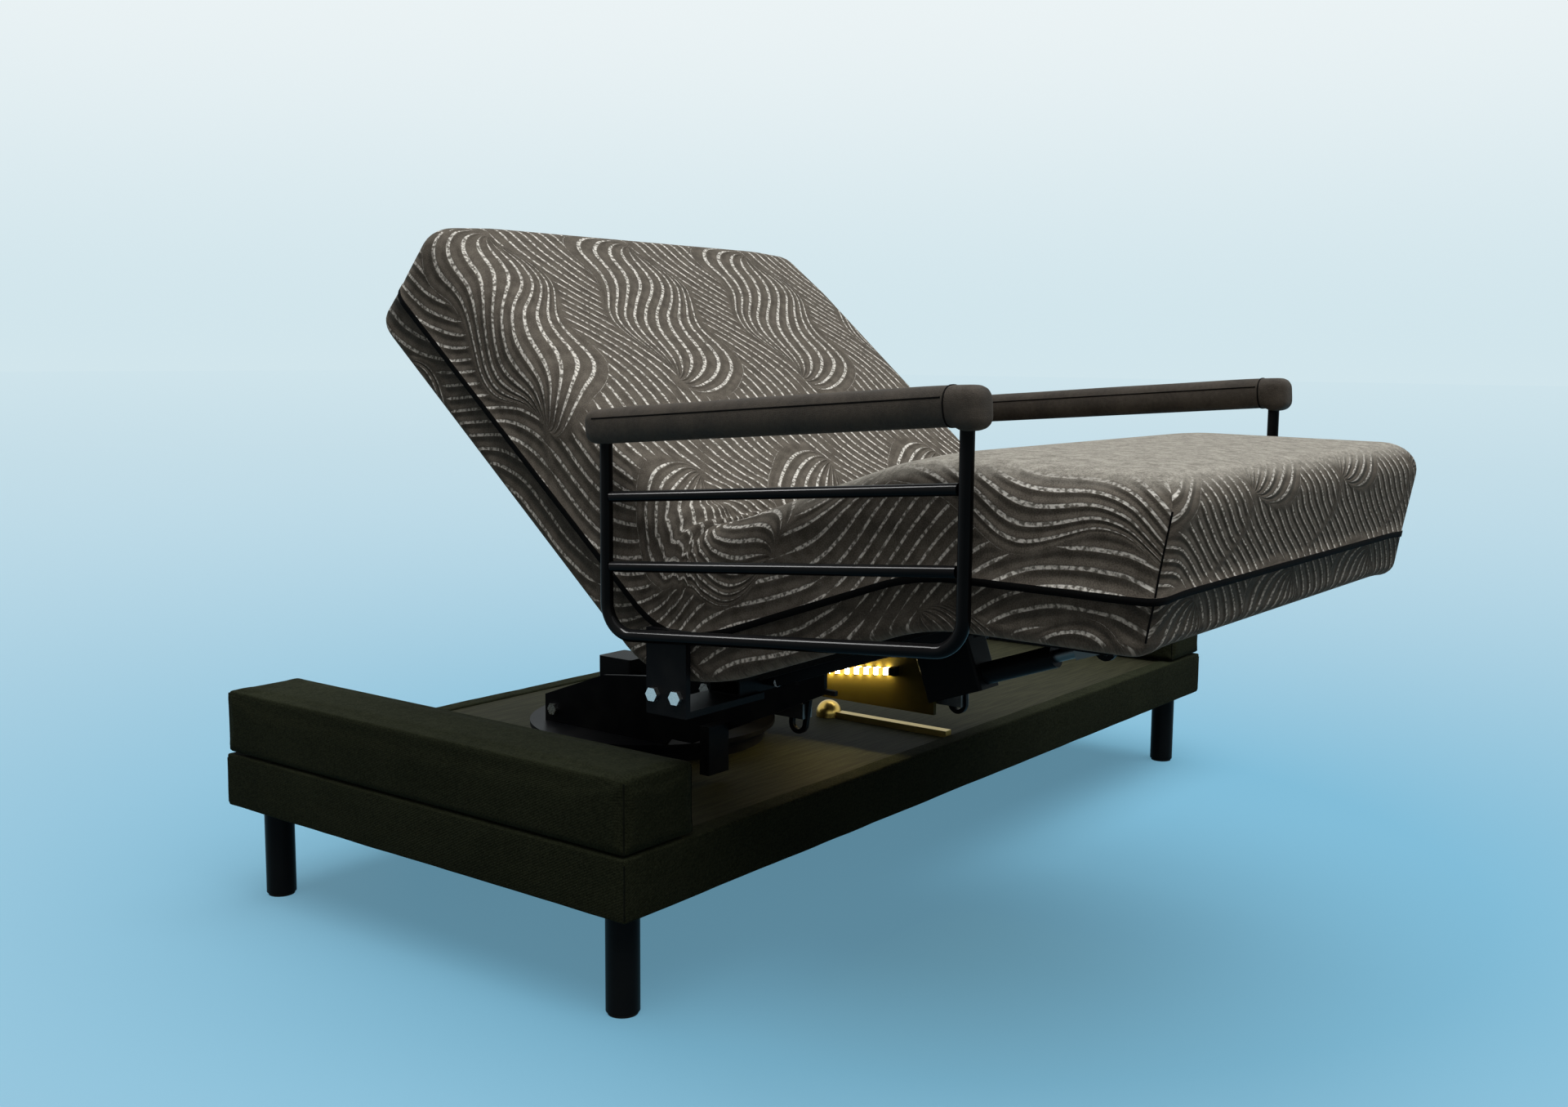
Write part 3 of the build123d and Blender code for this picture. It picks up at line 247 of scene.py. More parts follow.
# %% Floor and backdrop
FLOOR_SIZE = 120.0
FLOOR_NEAR = colour(0.22, 0.50, 0.68)
HORIZON = colour(0.64, 0.785, 0.84)
ZENITH = colour(0.84, 0.90, 0.915)
BOUNCE_FLOOR = colour(0.075, 0.075, 0.07)
BOUNCE_SKY = colour(0.10, 0.10, 0.10)
SKY_RISE = 0.24
OWN_GLOW = 0.47
GLOW_RANGE = (4.0, 14.0)
FADE_FROM = 1.0
FADE_SOFTNESS = 2.0

bpy.ops.mesh.primitive_grid_add(x_subdivisions=2, y_subdivisions=2, size=FLOOR_SIZE)
floor = bpy.context.object
floor.name = "floor"


def pale_floor():
    finish = Finish("pale_floor")
    away = finish.node("ShaderNodeVectorMath", {"operation": "LENGTH"}, {0: finish.place()}, "Value")
    fade = (away - FADE_FROM) / (away + FADE_SOFTNESS)
    sweep = finish.mix(fade, FLOOR_NEAR, HORIZON)
    finish.surface({
        "Base Color": finish.mix(finish.seen(), BOUNCE_FLOOR, sweep),
        "Roughness": 0.95,
        "Specular IOR Level": 0.0,
    })
    glow = finish.node("ShaderNodeEmission", {}, {"Color": sweep})
    body = Wire(finish, finish.shader.outputs["BSDF"])
    distant = (away.rise(*GLOW_RANGE) * (1.0 - OWN_GLOW) + OWN_GLOW) * finish.seen()
    both = finish.node("ShaderNodeMixShader", {}, {0: distant, 1: body, 2: glow})
    finish.link(finish.tree.nodes["Material Output"], {"Surface": both})
    return finish.material


floor.data.materials.append(pale_floor())

world = bpy.data.worlds.new("studio")
world.use_nodes = True
sky = Graph(world.node_tree)
height = sky.split(sky.node("ShaderNodeTexCoord", {}, {}, "Generated"))[2]
backdrop = sky.mix(height.rise(0.0, SKY_RISE), HORIZON, ZENITH)
sky.link(world.node_tree.nodes["Background"], {"Color": sky.mix(sky.seen(), BOUNCE_SKY, backdrop)})
bpy.context.scene.world = world
bpy.context.scene.view_settings.view_transform = "Standard"
print("floor in metres:", FLOOR_SIZE)

# %% [markdown]
# In the photograph the tops are several times brighter than the sides, so most light falls from above.
# A very wide sun gives that with soft shadows, at the same level over the whole floor.
# A weak panel beside the camera lifts the side that faces it.
# A panel high beyond the head draws the thin bright line that runs along each rail. Light linking keeps it
# to the rails, because it would flatten the dark sides of everything else.

# %% Lamps
OVERHEAD_LEVEL = 3.0
OVERHEAD_SPREAD = math.radians(70)
OVERHEAD_PLACE = (-0.10, -0.75, 4.0)
FILL_POWER = 5.5
FILL_SIZE = 2.0
FILL_PLACE = (-3.4, -2.4, 1.9)
FILL_TARGET = (-0.3, 0.0, 0.5)
RAIL_LAMP_POWER = 240.0
RAIL_LAMP_SIZE = (0.6, 1.8)
RAIL_LAMP_PLACE = (-1.95, 1.5, 2.9)
RAIL_LAMP_TARGET = (-0.93, -0.3, 0.75)
LIT_RAILS = ("near_rail_tube", "far_rail_tube", "rail_bars")


def add_lamp(name, kind, place, target):
    lamp = bpy.data.lights.new(name, kind)
    holder = bpy.data.objects.new(name, lamp)
    holder.location = place
    holder.rotation_euler = (Vector(target) - Vector(place)).to_track_quat("-Z", "Y").to_euler()
    bpy.context.scene.collection.objects.link(holder)
    return lamp


overhead = add_lamp("overhead", "SUN", OVERHEAD_PLACE, (0.0, 0.0, 0.0))
overhead.energy = OVERHEAD_LEVEL
overhead.angle = OVERHEAD_SPREAD
camera_fill = add_lamp("camera_fill", "AREA", FILL_PLACE, FILL_TARGET)
camera_fill.shape = "SQUARE"
camera_fill.size = FILL_SIZE
camera_fill.energy = FILL_POWER
rail_strip = add_lamp("rail_strip", "AREA", RAIL_LAMP_PLACE, RAIL_LAMP_TARGET)
rail_strip.shape = "RECTANGLE"
rail_strip.size, rail_strip.size_y = RAIL_LAMP_SIZE
rail_strip.energy = RAIL_LAMP_POWER
rails_only = bpy.data.collections.new("rails_only")
for name in LIT_RAILS:
    rails_only.objects.link(frame["nodes"][name])
bpy.data.objects["rail_strip"].light_linking.receiver_collection = rails_only

# %% [markdown]
# Most CAD pieces keep their shape and only need a finish, one for each material slot of the part's record.
# Plain colours would look like plastic models, so each finish gets what the real surface shows:
# a weave on the upholstery, orange peel on powder coat, brush marks on steel.

# %% Woven upholstery and paint
THREAD_WAVES = 1500.0


def woven_upholstery():
    """Dark olive-black furniture cloth: a coarse weave that catches a little light."""
    finish = Finish("woven_upholstery")
    place = finish.place()
    x, y, z = finish.split(place)
    warp = ((x + y) * THREAD_WAVES).wave()
    weft = ((z + x * 0.5 - y * 0.5) * THREAD_WAVES).wave()
    slubs = finish.noise(place, 300.0, 3.0)
    streaks = finish.noise(finish.stretched(place, (6.0, 6.0, 60.0)), 9.0, 3.0)
    cloud = finish.noise(place, 7.0)
    tone = slubs * 0.55 + cloud * 0.2 + streaks * 0.25
    base = finish.mix(tone.rise(0.3, 0.7), colour(0.0085, 0.0100, 0.0048), colour(0.027, 0.0305, 0.0165))
    relief = warp * weft * 0.3 + slubs
    return finish.surface({
        "Base Color": base,
        "Roughness": 0.9,
        "Specular IOR Level": 0.04,
        "Normal": finish.bump(relief, 0.0014, 0.6),
    })


def powder_coat(name, dark, light, roughness):
    """Paint on steel with a fine orange peel."""
    finish = Finish(name)
    place = finish.place()
    peel = finish.noise(place, 420.0)
    dust = finish.noise(place, 14.0, 4.0)
    return finish.surface({
        "Base Color": finish.mix(dust.rise(0.35, 0.8), dark, light),
        "Roughness": roughness + (dust - 0.5) * 0.18,
        "Specular IOR Level": 0.035,
        "Normal": finish.bump(peel, 0.0004, 0.25),
    })


def gloss_enamel():
    """The deep gloss black of the side rails."""
    finish = Finish("gloss_enamel")
    smears = finish.noise(finish.place(), 22.0, 4.0)
    return finish.surface({
        "Base Color": finish.mix(smears, colour(0.0015, 0.0015, 0.0016), colour(0.0035, 0.0035, 0.0037)),
        "Roughness": 0.09 + smears * 0.08,
        "Specular IOR Level": 0.035,
    })


# %% [markdown]
# Bolts, rods and the turn stop are bare metal, the decks are painted board, and the drives are moulded plastic.
# Metal could be left smooth, but a real rod is ground along its length, so its marks are stretched that way.
# The light strip shines by its own emission, in a row of dots, because its lamps show through the cover.

# %% Metal, board and plastic
def bright_metal(name, tone, scale, polish):
    """Zinc or ground steel, or metal tinted gold with painted warm lamp light, with fine marks that follow the
    length.
    """
    finish = Finish(name)
    marks = finish.noise(finish.stretched(finish.place(), scale), 60.0, 4.0)
    return finish.surface({
        "Base Color": finish.mix(marks, colour(*[part * 0.72 for part in tone]), colour(*tone)),
        "Metallic": 1.0,
        "Roughness": polish + marks * 0.22,
    })


def painted_board(name, dark, light):
    """Painted board with a fine nap, a little worn and dusty."""
    finish = Finish(name)
    place = finish.place()
    streaks = finish.noise(finish.stretched(place, (2.0, 30.0, 30.0)), 6.0, 4.0)
    speck = finish.noise(place, 300.0)
    return finish.surface({
        "Base Color": finish.mix((streaks * 0.6 + speck * 0.4).rise(0.3, 0.75), dark, light),
        "Roughness": 0.6 + speck * 0.15,
        "Specular IOR Level": 0.04,
        "Normal": finish.bump(speck, 0.0006, 0.35),
    })


def moulded_plastic(name, dark, light, roughness):
    finish = Finish(name)
    place = finish.place()
    spark = finish.noise(place, 700.0)
    cloud = finish.noise(place, 12.0, 3.0)
    return finish.surface({
        "Base Color": finish.mix(cloud, dark, light),
        "Roughness": roughness + (cloud - 0.5) * 0.12,
        "Specular IOR Level": 0.045,
        "Normal": finish.bump(spark, 0.0003, 0.4),
    })


LAMP_PITCH = 0.021
LAMP_STRENGTH = 120.0


def warm_lens():
    """The lit strip: a row of small lamps behind a frosted cover."""
    finish = Finish("warm_lens")
    along = finish.split(finish.place())[1]
    lamps = (along * (2 * math.pi / LAMP_PITCH)).wave().rise(-0.1, 0.9)
    return finish.surface({
        "Base Color": colour(0.9, 0.7, 0.35),
        "Roughness": 0.4,
        "Emission Color": finish.mix(lamps, colour(0.012, 0.006, 0.001), colour(1.0, 0.78, 0.34)),
        "Emission Strength": LAMP_STRENGTH,
    })


# %% [markdown]
# The record gives every CAD piece a material slot, so one table of finishes dresses them all.
# Three pieces differ from the rest of their slot: the two swivel rings are black, and the pedestal plate
# that the light strip shines on is olive-gold, a tone that paints part of the strip's warm light into its colour.

# %% Finishes by slot
def grey(level):
    return colour(level, level, level)


# The pedestal plate's olive-gold tone is painted light: it stands in for part of the light strip's warm glow on
# it.
lamp_glow_plate_paint = powder_coat("lit_plate", colour(0.052, 0.041, 0.009), colour(0.084, 0.067, 0.016), 0.5)
finishes = {
    "base_fabric": woven_upholstery(),
    "base_board": painted_board("deck_board", colour(0.017, 0.0175, 0.010), colour(0.044, 0.044, 0.025)),
    "platform_board": painted_board("platform_paint", grey(0.008), colour(0.020, 0.019, 0.018)),
    "leg_black": moulded_plastic("leg_satin", grey(0.004), grey(0.010), 0.36),
    "glide": moulded_plastic("glide_nylon", grey(0.02), grey(0.05), 0.6),
    "bright_steel": bright_metal("bright_zinc", (0.68, 0.67, 0.65), (1.0, 6.0, 6.0), 0.18),
    "black_steel": powder_coat("black_powder", colour(0.005, 0.005, 0.006), grey(0.014), 0.42),
    "rail_enamel": gloss_enamel(),
    "drive_plastic": moulded_plastic("drive_case", colour(0.006, 0.006, 0.007), grey(0.014), 0.45),
    "rod_steel": bright_metal("ground_rod", (0.11, 0.105, 0.10), (6.0, 1.0, 6.0), 0.3),
    "light_lens": warm_lens(),
    # The turn stop's knob and bar are warm gold: painted light from the strip, over plain metal.
    "stop_rubber": bright_metal("stop_knob", (0.74, 0.50, 0.13), (4.0, 4.0, 4.0), 0.20),
    "stop_steel": bright_metal("stop_bar", (0.52, 0.38, 0.12), (8.0, 1.0, 8.0), 0.28),
}


def dress(node, material):
    materials = frame["nodes"][node].data.materials
    materials.clear()
    materials.append(material)


for row in frame["record"]["subparts"]:
    if row["material_slot"] in finishes:
        dress(row["node"], finishes[row["material_slot"]])
own_finish = {
    "pedestal_far_plate": lamp_glow_plate_paint,
    "swivel_lower_ring": finishes["black_steel"],
    "swivel_upper_ring": finishes["black_steel"],
}
for name, material in own_finish.items():
    dress(name, material)
print("finishes:", len(finishes))

# %% [markdown]
# The ticking is a thick stretch knit, dark taupe, with bundles of pale wave lines knitted into it.
# A picture would be the usual way. Here nodes work the lines out on the cloth's own flat map, so they stay
# sharp at any distance. Slanting strips cross the cloth, and along each strip leaf-shaped fields take turns:
# one holds lines that sway along the strip, the next holds finer lines that cross it.

# %% Ticking
TURN = 2 * math.pi
STRIP_WIDTH = 0.335
STRIP_SLANT = 0.53
STRIP_START = 0.1615
STRIP_SWAY = 0.020
STRIP_SWAY_LENGTH = 0.23
LEAF_LENGTH = 0.62
LEAF_LEAN = 0.3436
LEAF_START = 0.177
LEAF_SHARE = 0.61
CROSS_SLANT = 0.445
CROSS_SWAY = 0.042
CROSS_SWAY_LENGTH = 0.52
BOLD_LINES = 11.5
FINE_PITCH = 0.0255
BOLD_LINE = 0.235
FINE_LINE = 0.19
LINE_EDGE = (-0.035, 0.022)
LEAF_FULLNESS = 0.55
LEAF_RIM = 0.02
TAPER_REACH = 0.07
DRIFT = 0.012
KNIT_SCALE = 520.0
FLECK_SCALE = 165.0
HEATHER_SCALE = 46.0
RELIEF_DEPTH = 0.0036
RELIEF_STRENGTH = 0.62


def knit_lines(phase, width, taper):
    """The lines of one bundle, one to a unit of phase, thinned by taper, and the swell between them."""
    away = (phase.cycle() - 0.5).size()
    line = (taper * (width / 2) - away).rise(*LINE_EDGE)
    return line, away.rise(width / 2, 0.5)


def wave_ticking():
    finish = Finish("wave_ticking")
    cloth = finish.node("ShaderNodeUVMap", {"uv_map": "cloth"}, {})
    across, along = finish.split(cloth)[:2]
    shown = finish.node("ShaderNodeAttribute", {"attribute_name": "wave_strength"}, {}, "Fac")
    drift = finish.noise(cloth, 9.0, 1.0) * DRIFT
    strip_sway = (along * (TURN / STRIP_SWAY_LENGTH)).wave() * STRIP_SWAY
    swaying = across + along * STRIP_SLANT + strip_sway + drift
    over = ((swaying + STRIP_START) / STRIP_WIDTH).cycle()
    turn = ((along - over * LEAF_LEAN) / LEAF_LENGTH + LEAF_START).cycle()
    grown = (turn * (math.pi / LEAF_SHARE)).wave() * (1.0 - turn.above(LEAF_SHARE))
    half = grown.math("POWER", grown.math("MAXIMUM", grown, 0.0001), LEAF_FULLNESS) * 0.5
    from_middle = over - 0.5
    inside = half - from_middle.size()
    leaf = inside.above(0.0)
    bold_phase = from_middle / (half + LEAF_RIM) * (BOLD_LINES / 2)
    cross_sway = (along * (TURN / CROSS_SWAY_LENGTH)).wave() * CROSS_SWAY
    fine_phase = (across - along * CROSS_SLANT + cross_sway + drift) / FINE_PITCH
    taper = inside.size().rise(0.0, TAPER_REACH)
    bold_line, bold_swell = knit_lines(bold_phase, BOLD_LINE, taper * grown.rise(0.05, 0.45))
    fine_line, fine_swell = knit_lines(fine_phase, FINE_LINE, taper)
    line = (leaf * bold_line + (1.0 - leaf) * fine_line) * shown
    swell = (leaf * bold_swell + (1.0 - leaf) * fine_swell) * taper * shown
    knit = finish.noise(cloth, KNIT_SCALE, 2.0)
    flecks = finish.noise(cloth, FLECK_SCALE, 2.0)
    heather = finish.noise(cloth, HEATHER_SCALE, 4.0)
    ground = finish.mix((knit * 0.55 + heather * 0.45).rise(0.3, 0.7),
                        colour(0.070, 0.060, 0.048), colour(0.176, 0.155, 0.127))
    plain = finish.mix((knit * 0.35 + flecks * 0.3 + heather * 0.35).rise(0.33, 0.67),
                       colour(0.19, 0.177, 0.150), colour(0.49, 0.465, 0.403))
    body = finish.mix(shown, plain, ground)
    silver = finish.mix(flecks.rise(0.38, 0.60), colour(0.185, 0.172, 0.145), colour(0.84, 0.81, 0.74))
    relief = swell + knit * 0.14 + flecks * line * 0.25
    return finish.surface({
        "Base Color": finish.mix(line, body, silver),
        "Roughness": 0.85,
        "Specular IOR Level": 0.1,
        "Normal": finish.bump(relief, RELIEF_DEPTH, RELIEF_STRENGTH),
    })


def binding_tape():
    """The narrow black tape that closes the mattress cover."""
    finish = Finish("binding_tape")
    weave = finish.noise(finish.place(), 500.0)
    return finish.surface({
        "Base Color": finish.mix(weave, grey(0.002), grey(0.009)),
        "Roughness": 0.8,
        "Specular IOR Level": 0.02,
        "Normal": finish.bump(weave, 0.0005, 0.6),
    })


ticking = wave_ticking()
tape = binding_tape()
print("ticking nodes:", len(ticking.node_tree.nodes))

# %% [markdown]
# The mattress is one slab of foam bent over three hinges: back, thigh and knee.
# It could be sculpted in its bent shape, but its seams and pattern belong to the flat slab.
# So it is made flat, given its cloth map there, and then every point is carried to the bent path.

# %% Mattress path
MATTRESS_HEIGHT = 0.220
HINGE_DEPTH = 0.022
BACK_LENGTH = 0.794
CALF_LENGTH = 0.330
UNIT_X = joints["back_hinge"]["pos_m"][0]
HINGES = ("back_hinge", "thigh_hinge", "knee_hinge")


def climb(degrees):
    """Directions along and square to the slab, in Y and Z, where it climbs by this angle to the foot."""
    angle = math.radians(degrees)
    return Vector((-math.cos(angle), math.sin(angle))), Vector((math.sin(angle), math.cos(angle)))


back_angle = joints["back_hinge"]["range_deg"][0]
thigh_angle = -joints["thigh_hinge"]["range_deg"][0]
calf_angle = thigh_angle + joints["knee_hinge"]["range_deg"][0]
climbs = [back_angle, 0.0, thigh_angle, calf_angle]
folds = []
for name, before, after in zip(HINGES, climbs, climbs[1:]):
    half = math.radians(after - before) / 2
    folds.append((Vector(joints[name]["pos_m"][1:]), (before + after) / 2, math.cos(half)))


def fold_at(index, height):
    """The corner of the bent path over one hinge, at a height above the platform."""
    hinge, lean, shrink = folds[index]
    return hinge + climb(lean)[1] * ((HINGE_DEPTH + height) / shrink)


def path_corners(height):
    head = fold_at(0, 0.0) - climb(back_angle)[0] * BACK_LENGTH + climb(back_angle)[1] * height
    knee_spare = HINGE_DEPTH * math.tan(math.radians(thigh_angle - calf_angle) / 2)
    foot = fold_at(2, 0.0) + climb(calf_angle)[0] * (CALF_LENGTH + knee_spare) + climb(calf_angle)[1] * height
    return [head, fold_at(0, height), fold_at(1, height), fold_at(2, height), foot]


bottom = path_corners(0.0)
stations = [0.0]
for start, end in zip(bottom, bottom[1:]):
    stations.append(stations[-1] + (end - start).length)
SLAB_LENGTH = stations[-1]
print("mattress length along its base:", round(SLAB_LENGTH, 3))

# %% [markdown]
# The path is made of straight runs, but foam does not fold like card: it turns over a short length.
# A bevel on the path would do. Here each point takes the mean of several places along it, which rounds
# every fold by the same reach and needs no case for where a fold begins.

# %% Bending
ROUNDING_STEPS = 9
ROUNDING_REACH = 0.055


def path_point(corners, station):
    """A point on the folded path. Past its ends the path runs straight on."""
    index = 0
    while index < len(stations) - 2 and station > stations[index + 1]:
        index += 1
    share = (station - stations[index]) / (stations[index + 1] - stations[index])
    return corners[index].lerp(corners[index + 1], share)


def bent(point):
    """Carries a point of the flat slab, (across, along, height), to its place on the bed."""
    across, station, height = point
    corners = path_corners(height)
    total = Vector((0.0, 0.0))
    for step in range(ROUNDING_STEPS):
        offset = ROUNDING_REACH * (2 * step / (ROUNDING_STEPS - 1) - 1)
        total += path_point(corners, station + offset)
    place = total / ROUNDING_STEPS
    return Vector((UNIT_X + across, place.x, place.y))


print("middle of the head end:", [round(part, 3) for part in bent((0.0, 0.0, MATTRESS_HEIGHT / 2))])

# %% [markdown]
# The flat slab starts as a cube. Bevels round its corners, and cutting planes give it enough points to bend.
# Two of the cuts bound the binding tape that runs round its side, and those faces are pushed out a little.

# %% Blocks, bevels and cuts
UPRIGHT_LENGTH = 0.05
CUT_TOLERANCE = 1e-5


def round_edges(mesh, edges, radius, segments):
    bmesh.ops.bevel(mesh, geom=edges, offset=radius, offset_type="OFFSET", affect="EDGES", segments=segments,
                    profile=0.5, material=-1, clamp_overlap=True)


def block(size, centre):
    mesh = bmesh.new()
    bmesh.ops.create_cube(mesh, size=1.0)
    bmesh.ops.scale(mesh, vec=size, verts=mesh.verts)
    bmesh.ops.translate(mesh, vec=centre, verts=mesh.verts)
    return mesh


def edges_where(mesh, test):
    return [edge for edge in mesh.edges if all(test(vert.co) for vert in edge.verts)]


def upright_edges(mesh, test):
    """The edges that pass a test and stand up."""
    picked = edges_where(mesh, test)
    return [edge for edge in picked if abs(edge.verts[0].co.z - edge.verts[1].co.z) > UPRIGHT_LENGTH]


def cut(mesh, axis, place):
    normal = Vector((0.0, 0.0, 0.0))
    normal[axis] = 1.0
    geometry = mesh.verts[:] + mesh.edges[:] + mesh.faces[:]
    bmesh.ops.bisect_plane(mesh, geom=geometry, dist=CUT_TOLERANCE, plane_co=normal * place, plane_no=normal)


def cut_evenly(mesh, axis, low, high, step):
    count = max(1, round((high - low) / step))
    for index in range(1, count):
        cut(mesh, axis, low + (high - low) * index / count)


# %% Mattress slab
MATTRESS_WIDTH = 0.965
HEAD_CORNER = 0.056
FOOT_CORNER = 0.056
TOP_EDGE = 0.050
BOTTOM_EDGE = 0.022
HEAD_STEPS = 10
FOOT_STEPS = 12
TOP_STEPS = 8
BOTTOM_STEPS = 5
TAPE_LOW = 0.067
TAPE_HIGH = 0.077
CUT_ALONG = 0.014
CUT_HIP = 0.006
CUT_ACROSS = 0.032
CUT_UP = 0.020
HIP_BEFORE = 0.20
HIP_AFTER = 0.16
TINY = 1e-4
seat_split = (stations[1] + stations[2]) / 2
thigh_split = (stations[2] + stations[3]) / 2
hip_low = stations[1] - HIP_BEFORE
hip_high = stations[2] + HIP_AFTER


def flat_slab():
    size = (MATTRESS_WIDTH, SLAB_LENGTH, MATTRESS_HEIGHT)
    slab = block(size, (0.0, SLAB_LENGTH / 2, MATTRESS_HEIGHT / 2))
    round_edges(slab, upright_edges(slab, lambda co: co.y < TINY), HEAD_CORNER, HEAD_STEPS)
    round_edges(slab, upright_edges(slab, lambda co: co.y > SLAB_LENGTH - TINY), FOOT_CORNER, FOOT_STEPS)
    round_edges(slab, edges_where(slab, lambda co: co.z > MATTRESS_HEIGHT - TINY), TOP_EDGE, TOP_STEPS)
    round_edges(slab, edges_where(slab, lambda co: co.z < TINY), BOTTOM_EDGE, BOTTOM_STEPS)
    for level in (TAPE_LOW, TAPE_HIGH):
        cut(slab, 2, level)
    for station in (seat_split, thigh_split, hip_low, hip_high):
        cut(slab, 1, station)
    cut_evenly(slab, 2, TAPE_HIGH, MATTRESS_HEIGHT - TOP_EDGE, CUT_UP)
    cut_evenly(slab, 0, -MATTRESS_WIDTH / 2, MATTRESS_WIDTH / 2, CUT_ACROSS)
    cut_evenly(slab, 1, 0.0, hip_low, CUT_ALONG)
    cut_evenly(slab, 1, hip_low, hip_high, CUT_HIP)
    cut_evenly(slab, 1, hip_high, SLAB_LENGTH, CUT_ALONG)
    return slab


# %% [markdown]
# The wave lines follow the cloth, so the cloth needs a flat map: metres across and along the top, running on
# down the sides and ends. Unwrapping the bent mattress would pull the lines out of shape at every fold.
# A second value says how strongly the lines show: hardly at all over the calves, and not at all underneath.

# %% Cloth map and tape
PLAIN_CALF = 0.95
END_STRETCH = 1.75
TOP_FADE = (0.022, 0.004)
CALF_FADE = (0.10, 0.26)
UNDER_FADE = 0.012
TAPE_PROUD = 0.0016


def ramp(value, low, high):
    return max(0.0, min(1.0, (value - low) / (high - low)))


def mark_cloth(slab):
    """Gives the flat slab its cloth map, and says where the wave lines show."""
    cloth = slab.loops.layers.uv.new("cloth")
    strength = slab.verts.layers.float.new("wave_strength")
    for vert in slab.verts:
        on_top = ramp(vert.co.z, MATTRESS_HEIGHT - TOP_FADE[0], MATTRESS_HEIGHT - TOP_FADE[1])
        calf = ramp(vert.co.y, stations[2] + CALF_FADE[0], stations[2] + CALF_FADE[1])
        under = ramp(vert.co.z, 0.0, UNDER_FADE)
        vert[strength] = under * (1.0 - PLAIN_CALF * on_top * calf)
    for face in slab.faces:
        end_face = abs(face.normal.y) > abs(face.normal.x)
        for loop in face.loops:
            x, y, z = loop.vert.co
            drop = MATTRESS_HEIGHT - z
            if end_face:
                loop[cloth].uv = (x, y + math.copysign(drop * END_STRETCH, y - SLAB_LENGTH / 2))
            else:
                loop[cloth].uv = (x + math.copysign(drop, x), y)


def tape_round(slab):
    """Pushes the faces between the two tape cuts outwards and gives them the tape's material."""
    band = [face for face in slab.faces
            if TAPE_LOW < face.calc_center_median().z < TAPE_HIGH and abs(face.normal.z) < 0.5]
    raised = bmesh.ops.extrude_face_region(slab, geom=band)
    outer = [item for item in raised["geom"] if isinstance(item, bmesh.types.BMFace)]
    bmesh.ops.delete(slab, geom=band, context="FACES_ONLY")
    slab.normal_update()
    for vert in {vert for face in outer for vert in face.verts}:
        vert.co += Vector((vert.normal.x, vert.normal.y, 0.0)).normalized() * TAPE_PROUD
    for face in outer:
        face.material_index = 1


# %% [markdown]
# Foam that is folded has to go somewhere: at the hip it bunches into short slanting wrinkles.
# They are ripples along the slab, strongest in the upper half and towards its two sides.
# The top is crowned, the tape draws the side in, and the foot's corners are pulled square by their seams.
# The head end runs on a little, its corners droop, and the foot end leans outwards at the top.

# %% Square foot corners
SQUARENESS = 5.0


def squared_corner(x, station):
    """Moves a point of a round foot corner outwards, so that the corner is nearly square."""
    reach_x = abs(x) - (MATTRESS_WIDTH / 2 - FOOT_CORNER)
    reach_y = station - (SLAB_LENGTH - FOOT_CORNER)
    if reach_x <= 0.0 or reach_y <= 0.0:
        return x, station
    radius = math.hypot(reach_x, reach_y)
    sharp = (reach_x ** SQUARENESS + reach_y ** SQUARENESS) ** (1.0 / SQUARENESS)
    grow = radius / sharp - 1.0
    return x + math.copysign(reach_x * grow, x), station + reach_y * grow


# %% Wrinkles at the hip
WRINKLE_PITCH = 0.046
WRINKLE_DEPTH = 0.0085
WRINKLE_SLANT = 0.9
WRINKLE_SHIFT = 0.03
WRINKLE_REACH = 0.095
WRINKLE_LIFT = (0.36, 0.75)
RIPPLE_SHARE = 0.75
PUCKER_SHARE = 0.5
WOBBLE_TURN = 3.4
WOBBLE_SCALE = (6.0, 11.0, 10.0)
PUCKER_SCALE = (30.0, 38.0, 34.0)


def uneven(point, scale):
    return noise.noise(Vector([part * factor for part, factor in zip(point, scale)]))


def hip_fold(x, station, height):
    """How far the cover is pushed out or in at the hip, where it bunches."""
    lift = height / MATTRESS_HEIGHT
    middle = (stations[1] + stations[2]) / 2 - WRINKLE_SHIFT
    window = math.exp(-((station - middle) / WRINKLE_REACH) ** 2) * ramp(lift, *WRINKLE_LIFT)
    wobble = uneven((x, station, height), WOBBLE_SCALE)
    ripple = math.sin(TURN * station / WRINKLE_PITCH + WRINKLE_SLANT * TURN * lift + WOBBLE_TURN * wobble)
    pucker = uneven((x, station, height), PUCKER_SCALE)
    return WRINKLE_DEPTH * window * (RIPPLE_SHARE * ripple + PUCKER_SHARE * pucker)


# %% Crown, waist and ends
CROWN = 0.008
CROWN_REACH = 0.14
WAIST = 0.0022
WAIST_REACH = 0.020
SIDE_SAG = 0.006
SAG_FROM = 0.84
CORNER_DROOP = 0.012
DROOP_FROM = 0.72
DROOP_REACH = 0.16
HEAD_SPARE = 0.015
SPARE_REACH = 0.30
FOOT_LEAN = 0.036
LEAN_CENTRE = 0.75
FOLD_AT_MIDDLE = 0.45
FOLD_AT_SIDE = 0.55


